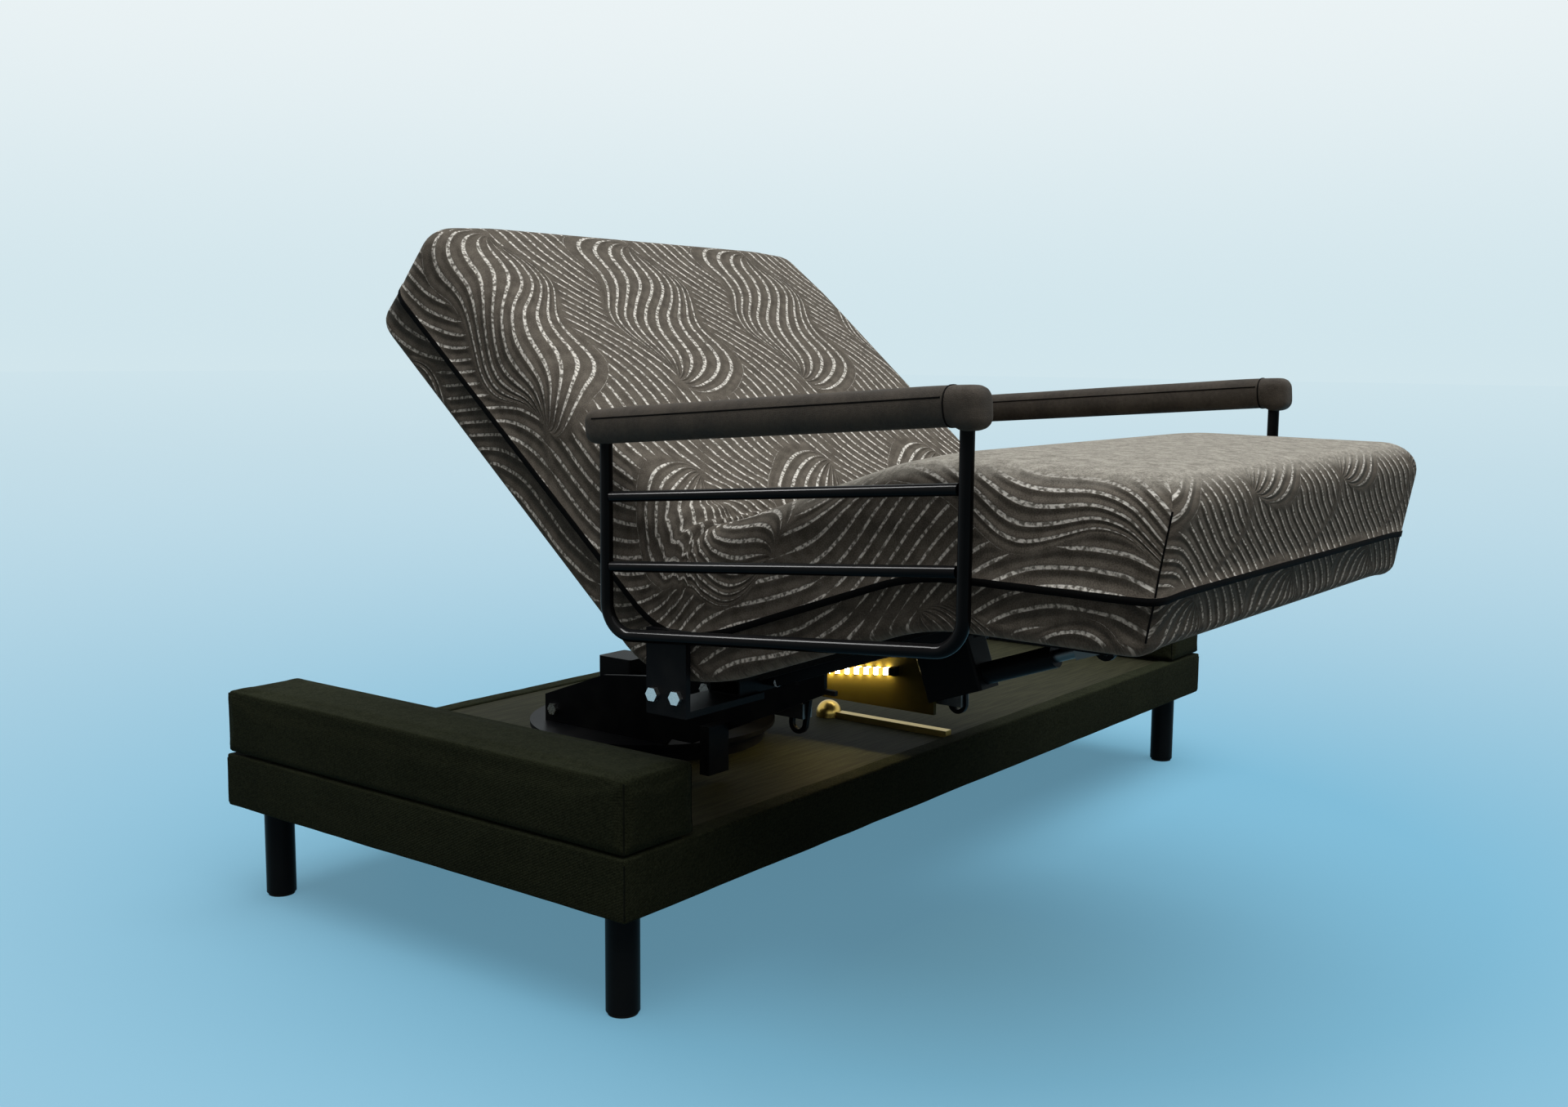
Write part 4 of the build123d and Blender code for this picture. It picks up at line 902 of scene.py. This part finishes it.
def soft_shape(co):
    """The flat slab's point, moved as foam and a tight cover move it."""
    x, station, height = co
    x, station = squared_corner(x, station)
    side = abs(x) / (MATTRESS_WIDTH / 2)
    lift = height / MATTRESS_HEIGHT
    edge = min(1.0, (MATTRESS_WIDTH / 2 - abs(x)) / CROWN_REACH)
    end = min(1.0, station / CROWN_REACH, (SLAB_LENGTH - station) / CROWN_REACH)
    z = height + CROWN * lift * (min(edge, end) - 1.0)
    z -= SIDE_SAG * (1.0 - lift) * ramp(side, SAG_FROM, 1.0)
    head_corner = ramp(side, DROOP_FROM, 1.0) * ramp(DROOP_REACH - station, 0.0, DROOP_REACH)
    z -= CORNER_DROOP * head_corner * lift ** 3
    station -= HEAD_SPARE * ramp(SPARE_REACH - station, 0.0, SPARE_REACH)
    station += FOOT_LEAN * (lift - LEAN_CENTRE) * ramp(station, stations[3], SLAB_LENGTH)
    near_tape = math.exp(-((height - (TAPE_LOW + TAPE_HIGH) / 2) / WAIST_REACH) ** 2)
    x -= math.copysign(WAIST * near_tape * side ** 8, x)
    fold = hip_fold(x, station, height)
    z += fold * (FOLD_AT_MIDDLE + FOLD_AT_SIDE * side) * lift
    x += math.copysign(fold * side ** 6, x)
    return Vector((x, station, z))


def mattress_mesh():
    slab = flat_slab()
    slab.normal_update()
    mark_cloth(slab)
    tape_round(slab)
    station_layer = slab.verts.layers.float.new("station")
    for vert in slab.verts:
        vert[station_layer] = min(max(vert.co.y, 0.0), SLAB_LENGTH)
        vert.co = bent(soft_shape(vert.co))
    bmesh.ops.recalc_face_normals(slab, faces=slab.faces)
    slab.normal_update()
    return slab


whole = mattress_mesh()
print("mattress faces:", len(whole.faces))

# %% [markdown]
# A bend can follow one hinge only, so the mattress is parted where nothing bends: mid-seat and mid-thigh.
# Each part keeps the whole mattress's normals along the cut, so that no line shows there.

# %% Mattress parts
BEND_REACH = 0.16
KNEE_REACH = 0.08
SPLIT_TOLERANCE = 1e-6


def link(piece):
    bpy.context.scene.collection.objects.link(piece)
    return piece


def whole_normals(mesh, normals, caps):
    """Shades every loop by the whole mattress's normal, and the caps inside the cuts flat."""
    shading = []
    for polygon in mesh.polygons:
        polygon.use_smooth = True
        for index in polygon.vertices:
            shading.append(polygon.normal if polygon.index in caps else normals[index])
    mesh.normals_split_custom_set(shading)


def mattress_part(name, low, high, bodies, start, end, nodes):
    part = whole.copy()
    station = part.verts.layers.float["station"]
    first, last = low - SPLIT_TOLERANCE, high + SPLIT_TOLERANCE
    outside = [vert for vert in part.verts if not first <= vert[station] <= last]
    bmesh.ops.delete(part, geom=outside, context="VERTS")
    normals = [vert.normal.copy() for vert in part.verts]
    rim = [edge for edge in part.edges if edge.is_boundary]
    filled = bmesh.ops.holes_fill(part, edges=rim, sides=0)
    part.faces.index_update()
    caps = {face.index for face in filled["faces"]}
    mesh = bpy.data.meshes.new(name)
    part.to_mesh(mesh)
    part.free()
    whole_normals(mesh, normals, caps)
    mesh.materials.append(ticking)
    mesh.materials.append(tape)
    piece = link(bpy.data.objects.new(name, mesh))
    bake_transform(piece, *bodies, start=start, end=end)
    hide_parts(*nodes)
    return piece


def on_path(station):
    place = path_point(bottom, station)
    return (UNIT_X, place.x, place.y)


mattress_rows = (
    ("mattress_upper", 0.0, seat_split, ("back", "turntable"),
     on_path(stations[1] - BEND_REACH), on_path(seat_split), ("mattress_back", "mattress_hip")),
    ("mattress_middle", seat_split, thigh_split, ("turntable", "thigh"),
     on_path(seat_split), on_path(stations[2] + BEND_REACH), ("mattress_thigh",)),
    ("mattress_lower", thigh_split, SLAB_LENGTH, ("thigh", "foot"),
     on_path(stations[3] - KNEE_REACH), on_path(stations[3] + KNEE_REACH), ("mattress_knee", "mattress_foot")),
)
for row in mattress_rows:
    part = mattress_part(*row)
    print(part.name, "faces:", len(part.data.polygons))

# %% [markdown]
# Covers are sewn, and a seam shows as a thin dark line that stands a little proud.
# A groove would need a very fine mesh, so each seam is a fine thread, half sunk in the cloth.
# Blender's curves carry a round section along points, and the result is kept as a mesh.

# %% Seams
SEAM_RADIUS = 0.0013
FOOT_SEAM_STEPS = 8
FOOT_SEAM_TOP = 0.8


def finish_piece(piece, material, body):
    for polygon in piece.data.polygons:
        polygon.use_smooth = True
    piece.data.materials.clear()
    piece.data.materials.append(material)
    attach(piece, body)
    return piece


def seams(name, lines, material, body, closed=False):
    curve = bpy.data.curves.new(name, "CURVE")
    curve.dimensions = "3D"
    curve.bevel_depth = SEAM_RADIUS
    curve.bevel_resolution = 1
    curve.use_fill_caps = True
    for line in lines:
        spline = curve.splines.new("POLY")
        spline.points.add(len(line) - 1)
        for point, place in zip(spline.points, line):
            point.co = (*place, 1.0)
        spline.use_cyclic_u = closed
    drawn = bpy.data.objects.new(name, curve)
    mesh = bpy.data.meshes.new_from_object(drawn)
    bpy.data.objects.remove(drawn)
    mesh.name = name
    return finish_piece(link(bpy.data.objects.new(name, mesh)), material, body)


def foot_corner(side, height):
    """A point on the flat slab's foot corner, midway round it."""
    inset = FOOT_CORNER * (1.0 - math.sqrt(0.5))
    return Vector((side * (MATTRESS_WIDTH / 2 - inset), SLAB_LENGTH - inset, height))


foot_lines = []
for side in (-1.0, 1.0):
    for low, high in ((BOTTOM_EDGE, TAPE_LOW), (TAPE_HIGH, MATTRESS_HEIGHT - TOP_EDGE * FOOT_SEAM_TOP)):
        levels = [low + (high - low) * step / FOOT_SEAM_STEPS for step in range(FOOT_SEAM_STEPS + 1)]
        foot_lines.append([bent(soft_shape(foot_corner(side, level))) for level in levels])
seams("foot_corner_seams", foot_lines, tape, "foot")
print("foot corner seams:", len(foot_lines))

# %% [markdown]
# Padding is a stuffed cover, and stuffing pushes a cover outwards until the cloth holds it.
# Sculpting that by hand rarely looks right, so Blender's cloth simulation does it: an even skin is laid over
# a slightly small shape, pressure swells it, and no point may move further than the real cover would let it.

# %% Stuffed covers
PRESSURE = 4.0
LAST_FRAME = 20


def settle(piece):
    """Replaces a piece's mesh by what its modifiers make of it."""
    shown = piece.evaluated_get(bpy.context.evaluated_depsgraph_get())
    result = bpy.data.meshes.new_from_object(shown)
    piece.modifiers.clear()
    piece.data = result


def even_skin(name, mesh, voxel):
    data = bpy.data.meshes.new(name)
    mesh.to_mesh(data)
    mesh.free()
    piece = link(bpy.data.objects.new(name, data))
    skin = piece.modifiers.new("even_skin", "REMESH")
    skin.mode = "VOXEL"
    skin.voxel_size = voxel
    settle(piece)
    return piece


def stuff(piece, most, held):
    """Blows a cover up by no more than most. Points that held picks out stay where they are."""
    before = [vert.co.copy() for vert in piece.data.vertices]
    fixed = piece.vertex_groups.new(name="held")
    fixed.add([index for index, co in enumerate(before) if held(co)], 1.0, "REPLACE")
    cloth = piece.modifiers.new("stuffing", "CLOTH")
    cloth.settings.use_pressure = True
    cloth.settings.uniform_pressure_force = PRESSURE
    cloth.settings.effector_weights.gravity = 0.0
    cloth.settings.vertex_group_mass = fixed.name
    for step in range(1, LAST_FRAME + 1):
        bpy.context.scene.frame_set(step)
    settle(piece)
    for vert, start in zip(piece.data.vertices, before):
        move = vert.co - start
        if move.length > most:
            vert.co = start + move * (most / move.length)
    bpy.context.scene.frame_set(1)
    piece.vertex_groups.clear()


def refine(piece):
    smooth = piece.modifiers.new("smooth", "SUBSURF")
    smooth.levels = 1
    smooth.render_levels = 1


def skin_of(piece):
    """A tree that finds where a line from outside meets the piece."""
    corners = [vert.co for vert in piece.data.vertices]
    faces = [list(face.vertices) for face in piece.data.polygons]
    return BVHTree.FromPolygons(corners, faces)


def on_skin(tree, outside, target):
    hit = tree.ray_cast(Vector(outside), (Vector(target) - Vector(outside)).normalized())[0]
    return hit if hit else Vector(target)


# %% [markdown]
# The armrests are leather over foam on a wooden core. The cover is sewn along both sides, and a separate cap
# closes the end towards the foot and reaches down round the post.
# The bar and its cap start as two rounded blocks. The even skin makes them one cover before it is stuffed.

# %% Armrest leather
PORE_SCALE = 330.0


def grained_leather():
    """Dark brown leather: small cells with creases between them, and faint creases along the bar."""
    finish = Finish("grained_leather")
    place = finish.place()
    pores = {"Vector": place, "Scale": PORE_SCALE}
    cells = finish.node("ShaderNodeTexVoronoi", {"feature": "DISTANCE_TO_EDGE"}, pores, "Distance")
    cloud = finish.noise(place, 16.0, 4.0)
    crease = finish.noise(finish.stretched(place, (1.0, 5.0, 5.0)), 30.0, 3.0)
    base = finish.mix((cloud * 0.7 + crease * 0.3).rise(0.3, 0.7),
                      colour(0.037, 0.030, 0.023), colour(0.076, 0.063, 0.050))
    return finish.surface({
        "Base Color": base,
        "Roughness": 0.58 + cloud * 0.2,
        "Specular IOR Level": 0.18,
        "Normal": finish.bump(cells.rise(0.0, 0.12) + crease * 0.6, 0.0007, 0.6),
    })


leather = grained_leather()
seam_leather = powder_coat("seam_thread", colour(0.004, 0.0035, 0.003), colour(0.009, 0.008, 0.007), 0.7)
print("leather nodes:", len(leather.node_tree.nodes))

# %% Armrest cover
ARMREST_WIDTH = 0.058
ARMREST_HEIGHT = 0.047
COVER_HEIGHT = 0.056
ARMREST_ROUNDING = 0.017
ARMREST_SKIN = 0.004
ARMREST_SWELL = 0.005
SLIM_SHARE = 1.2
BLOCK_STEPS = 5
CAP_LENGTH = 0.050
CAP_DROP = 0.006


def rounded_block(size, centre, radius):
    mesh = block(size, centre)
    round_edges(mesh, mesh.edges[:], radius, BLOCK_STEPS)
    return mesh


def armrest_blocks(length):
    """The bar and its end cap, a little small, lying along Y about the origin."""
    slim = Vector((ARMREST_SWELL, ARMREST_SWELL, ARMREST_SWELL)) * SLIM_SHARE
    bar_size = Vector((ARMREST_WIDTH, length, COVER_HEIGHT)) - slim
    bar = rounded_block(bar_size, (0.0, 0.0, 0.0), ARMREST_ROUNDING)
    cap_size = Vector((ARMREST_WIDTH, CAP_LENGTH, COVER_HEIGHT + CAP_DROP)) - slim
    cap_centre = (0.0, (CAP_LENGTH - length) / 2, -CAP_DROP / 2)
    cap = rounded_block(cap_size, cap_centre, ARMREST_ROUNDING)
    spare = bpy.data.meshes.new("spare")
    cap.to_mesh(spare)
    cap.free()
    bar.from_mesh(spare)
    bpy.data.meshes.remove(spare)
    return bar


# %% Armrests
SIDE_SEAM_HEIGHT = 0.012
SIDE_SEAM_STEPS = 40
SIDE_SEAM_START = 0.004
SIDE_SEAM_SHORT = 0.030
CAP_SEAM_POINTS = 28
SEAM_RAY = 0.2
HELD_SHARE = 1.4


def armrest_seams(tree, length):
    """Lines along both sides of the cover, and a ring where the cap meets it."""
    inner = CAP_LENGTH - length / 2
    long_lines = []
    for side in (-SEAM_RAY, SEAM_RAY):
        line = []
        for step in range(SIDE_SEAM_STEPS + 1):
            along = inner + SIDE_SEAM_START + (length - CAP_LENGTH - SIDE_SEAM_SHORT) * step / SIDE_SEAM_STEPS
            line.append(on_skin(tree, (side, along, SIDE_SEAM_HEIGHT), (0.0, along, SIDE_SEAM_HEIGHT)))
        long_lines.append(line)
    ring = []
    for step in range(CAP_SEAM_POINTS):
        turn = TURN * step / CAP_SEAM_POINTS
        outside = (SEAM_RAY * math.cos(turn), inner, SEAM_RAY * math.sin(turn))
        ring.append(on_skin(tree, outside, (0.0, inner, 0.0)))
    return long_lines, [ring]


def armrest(name, node):
    low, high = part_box(node)
    rise = (high.z - low.z - ARMREST_HEIGHT) / (high.y - low.y)
    tilt = math.atan(rise)
    length = (high.y - low.y) / math.cos(tilt) - ARMREST_HEIGHT * math.sin(tilt)
    placing = Matrix.Translation((low + high) / 2) @ Matrix.Rotation(-tilt, 4, "X")
    pad = even_skin(name, armrest_blocks(length), ARMREST_SKIN)
    stuff(pad, ARMREST_SWELL, lambda co: co.z < -COVER_HEIGHT / 2 + ARMREST_SWELL * HELD_SHARE)
    long_lines, rings = armrest_seams(skin_of(pad), length)
    pad.data.transform(placing)
    refine(pad)
    finish_piece(pad, leather, "turntable")
    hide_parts(node)
    for part, lines, closed in (("side", long_lines, False), ("cap", rings, True)):
        thread = seams(f"{name}_{part}_seam", lines, seam_leather, "turntable", closed)
        thread.data.transform(placing)
    return pad


for side in ("near", "far"):
    pad = armrest(f"armrest_pad_{side}", f"{side}_armrest")
    print(pad.name, "faces:", len(pad.data.polygons))

# %% [markdown]
# The base is a timber box wrapped in cloth. Wrapped corners are never sharp: the cloth rounds every edge.
# The skirt is one ring: a block whose top and bottom are inset, opened, and bridged through.
# A little unevenness keeps its long faces from looking machined.

# %% Base skirt
RAIL_NODES = ("near_side_rail", "far_side_rail", "left_end_rail", "right_end_rail")
SKIRT_ROUNDING = 0.0045
SKIRT_STEP = 0.035
SKIRT_ROUNDING_STEPS = 4
SKIRT_WAVE = 0.0009
SKIRT_WAVE_SCALE = 14.0
SHARP_ANGLE = 0.5
upholstery = finishes["base_fabric"]
rail_boxes = [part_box(node) for node in RAIL_NODES]
skirt_low = Vector([min(low[axis] for low, high in rail_boxes) for axis in range(3)])
skirt_high = Vector([max(high[axis] for low, high in rail_boxes) for axis in range(3)])
skirt_wall = rail_boxes[0][1].y - rail_boxes[0][0].y


def base_skirt():
    ring = block(skirt_high - skirt_low, (skirt_low + skirt_high) / 2)
    ends = [face for face in ring.faces if abs(face.normal.z) > 0.9]
    bmesh.ops.inset_region(ring, faces=ends, thickness=skirt_wall, use_even_offset=True)
    rims = [edge for face in ends for edge in face.edges]
    bmesh.ops.delete(ring, geom=ends, context="FACES_ONLY")
    bmesh.ops.bridge_loops(ring, edges=rims)
    bmesh.ops.recalc_face_normals(ring, faces=ring.faces)
    sharp = [edge for edge in ring.edges if edge.calc_face_angle(0.0) > SHARP_ANGLE]
    round_edges(ring, sharp, SKIRT_ROUNDING, SKIRT_ROUNDING_STEPS)
    for axis in range(3):
        cut_evenly(ring, axis, skirt_low[axis], skirt_high[axis], SKIRT_STEP)
    ring.normal_update()
    for vert in ring.verts:
        vert.co -= vert.normal * SKIRT_WAVE * (0.5 + noise.noise(vert.co * SKIRT_WAVE_SCALE))
    data = bpy.data.meshes.new("base_skirt")
    ring.to_mesh(data)
    ring.free()
    return link(bpy.data.objects.new("base_skirt", data))


skirt = finish_piece(base_skirt(), upholstery, "base")
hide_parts(*RAIL_NODES)
print("skirt faces:", len(skirt.data.polygons))

# %% [markdown]
# A bolster lies across each end of the base: a long foam block in a sewn cover, tight, with a flat underside.
# A thin shadow shows under it, so its cover stops a few millimetres above the skirt.

# %% Bolster cover
BOLSTER_SKIN = 0.005
BOLSTER_SWELL = 0.0025
BOLSTER_ROUNDING = 0.004
BOLSTER_GAP = 0.0035


def bolster(name, node):
    low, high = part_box(node)
    slim = Vector((BOLSTER_SWELL, BOLSTER_SWELL, 0.0))
    low = low + slim + Vector((0.0, 0.0, BOLSTER_GAP))
    high = high - slim - Vector((0.0, 0.0, BOLSTER_SWELL))
    cover = even_skin(name, rounded_block(high - low, (low + high) / 2, BOLSTER_ROUNDING), BOLSTER_SKIN)
    stuff(cover, BOLSTER_SWELL, lambda co: co.z < low.z + BOLSTER_GAP)
    return cover


# %% Bolsters and corner seams
CORNER_SEAM_STEPS = 10
CORNER_SEAM_START = 0.006
CORNER_SEAM_SHORT = 0.014
CORNER_OUTSIDE = 0.1
CORNER_INSIDE = 0.05


def corner_lines(tree, low, high):
    """Seam lines down the four upright corners of a box-shaped cover."""
    length = high.z - low.z - CORNER_SEAM_SHORT
    rises = [low.z + CORNER_SEAM_START + length * step / CORNER_SEAM_STEPS
             for step in range(CORNER_SEAM_STEPS + 1)]
    levels = [Vector((0.0, 0.0, rise)) for rise in rises]
    lines = []
    for x, inward_x in ((low.x, 1.0), (high.x, -1.0)):
        for y, inward_y in ((low.y, 1.0), (high.y, -1.0)):
            far = Vector((x - inward_x * CORNER_OUTSIDE, y - inward_y * CORNER_OUTSIDE, 0.0))
            near = Vector((x + inward_x * CORNER_INSIDE, y + inward_y * CORNER_INSIDE, 0.0))
            lines.append([on_skin(tree, far + level, near + level) for level in levels])
    return lines


upright_lines = corner_lines(skin_of(skirt), skirt_low, skirt_high)
for side in ("left", "right"):
    node = f"{side}_bolster"
    cover = bolster(f"bolster_{side}", node)
    upright_lines += corner_lines(skin_of(cover), *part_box(node))
    refine(cover)
    finish_piece(cover, upholstery, "base")
    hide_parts(node)
    print(cover.name, "faces:", len(cover.data.polygons))
seam_cloth = powder_coat("corner_thread", colour(0.004, 0.0045, 0.003), colour(0.010, 0.011, 0.007), 0.8)
seams("base_corner_seams", upright_lines, seam_cloth, "base")
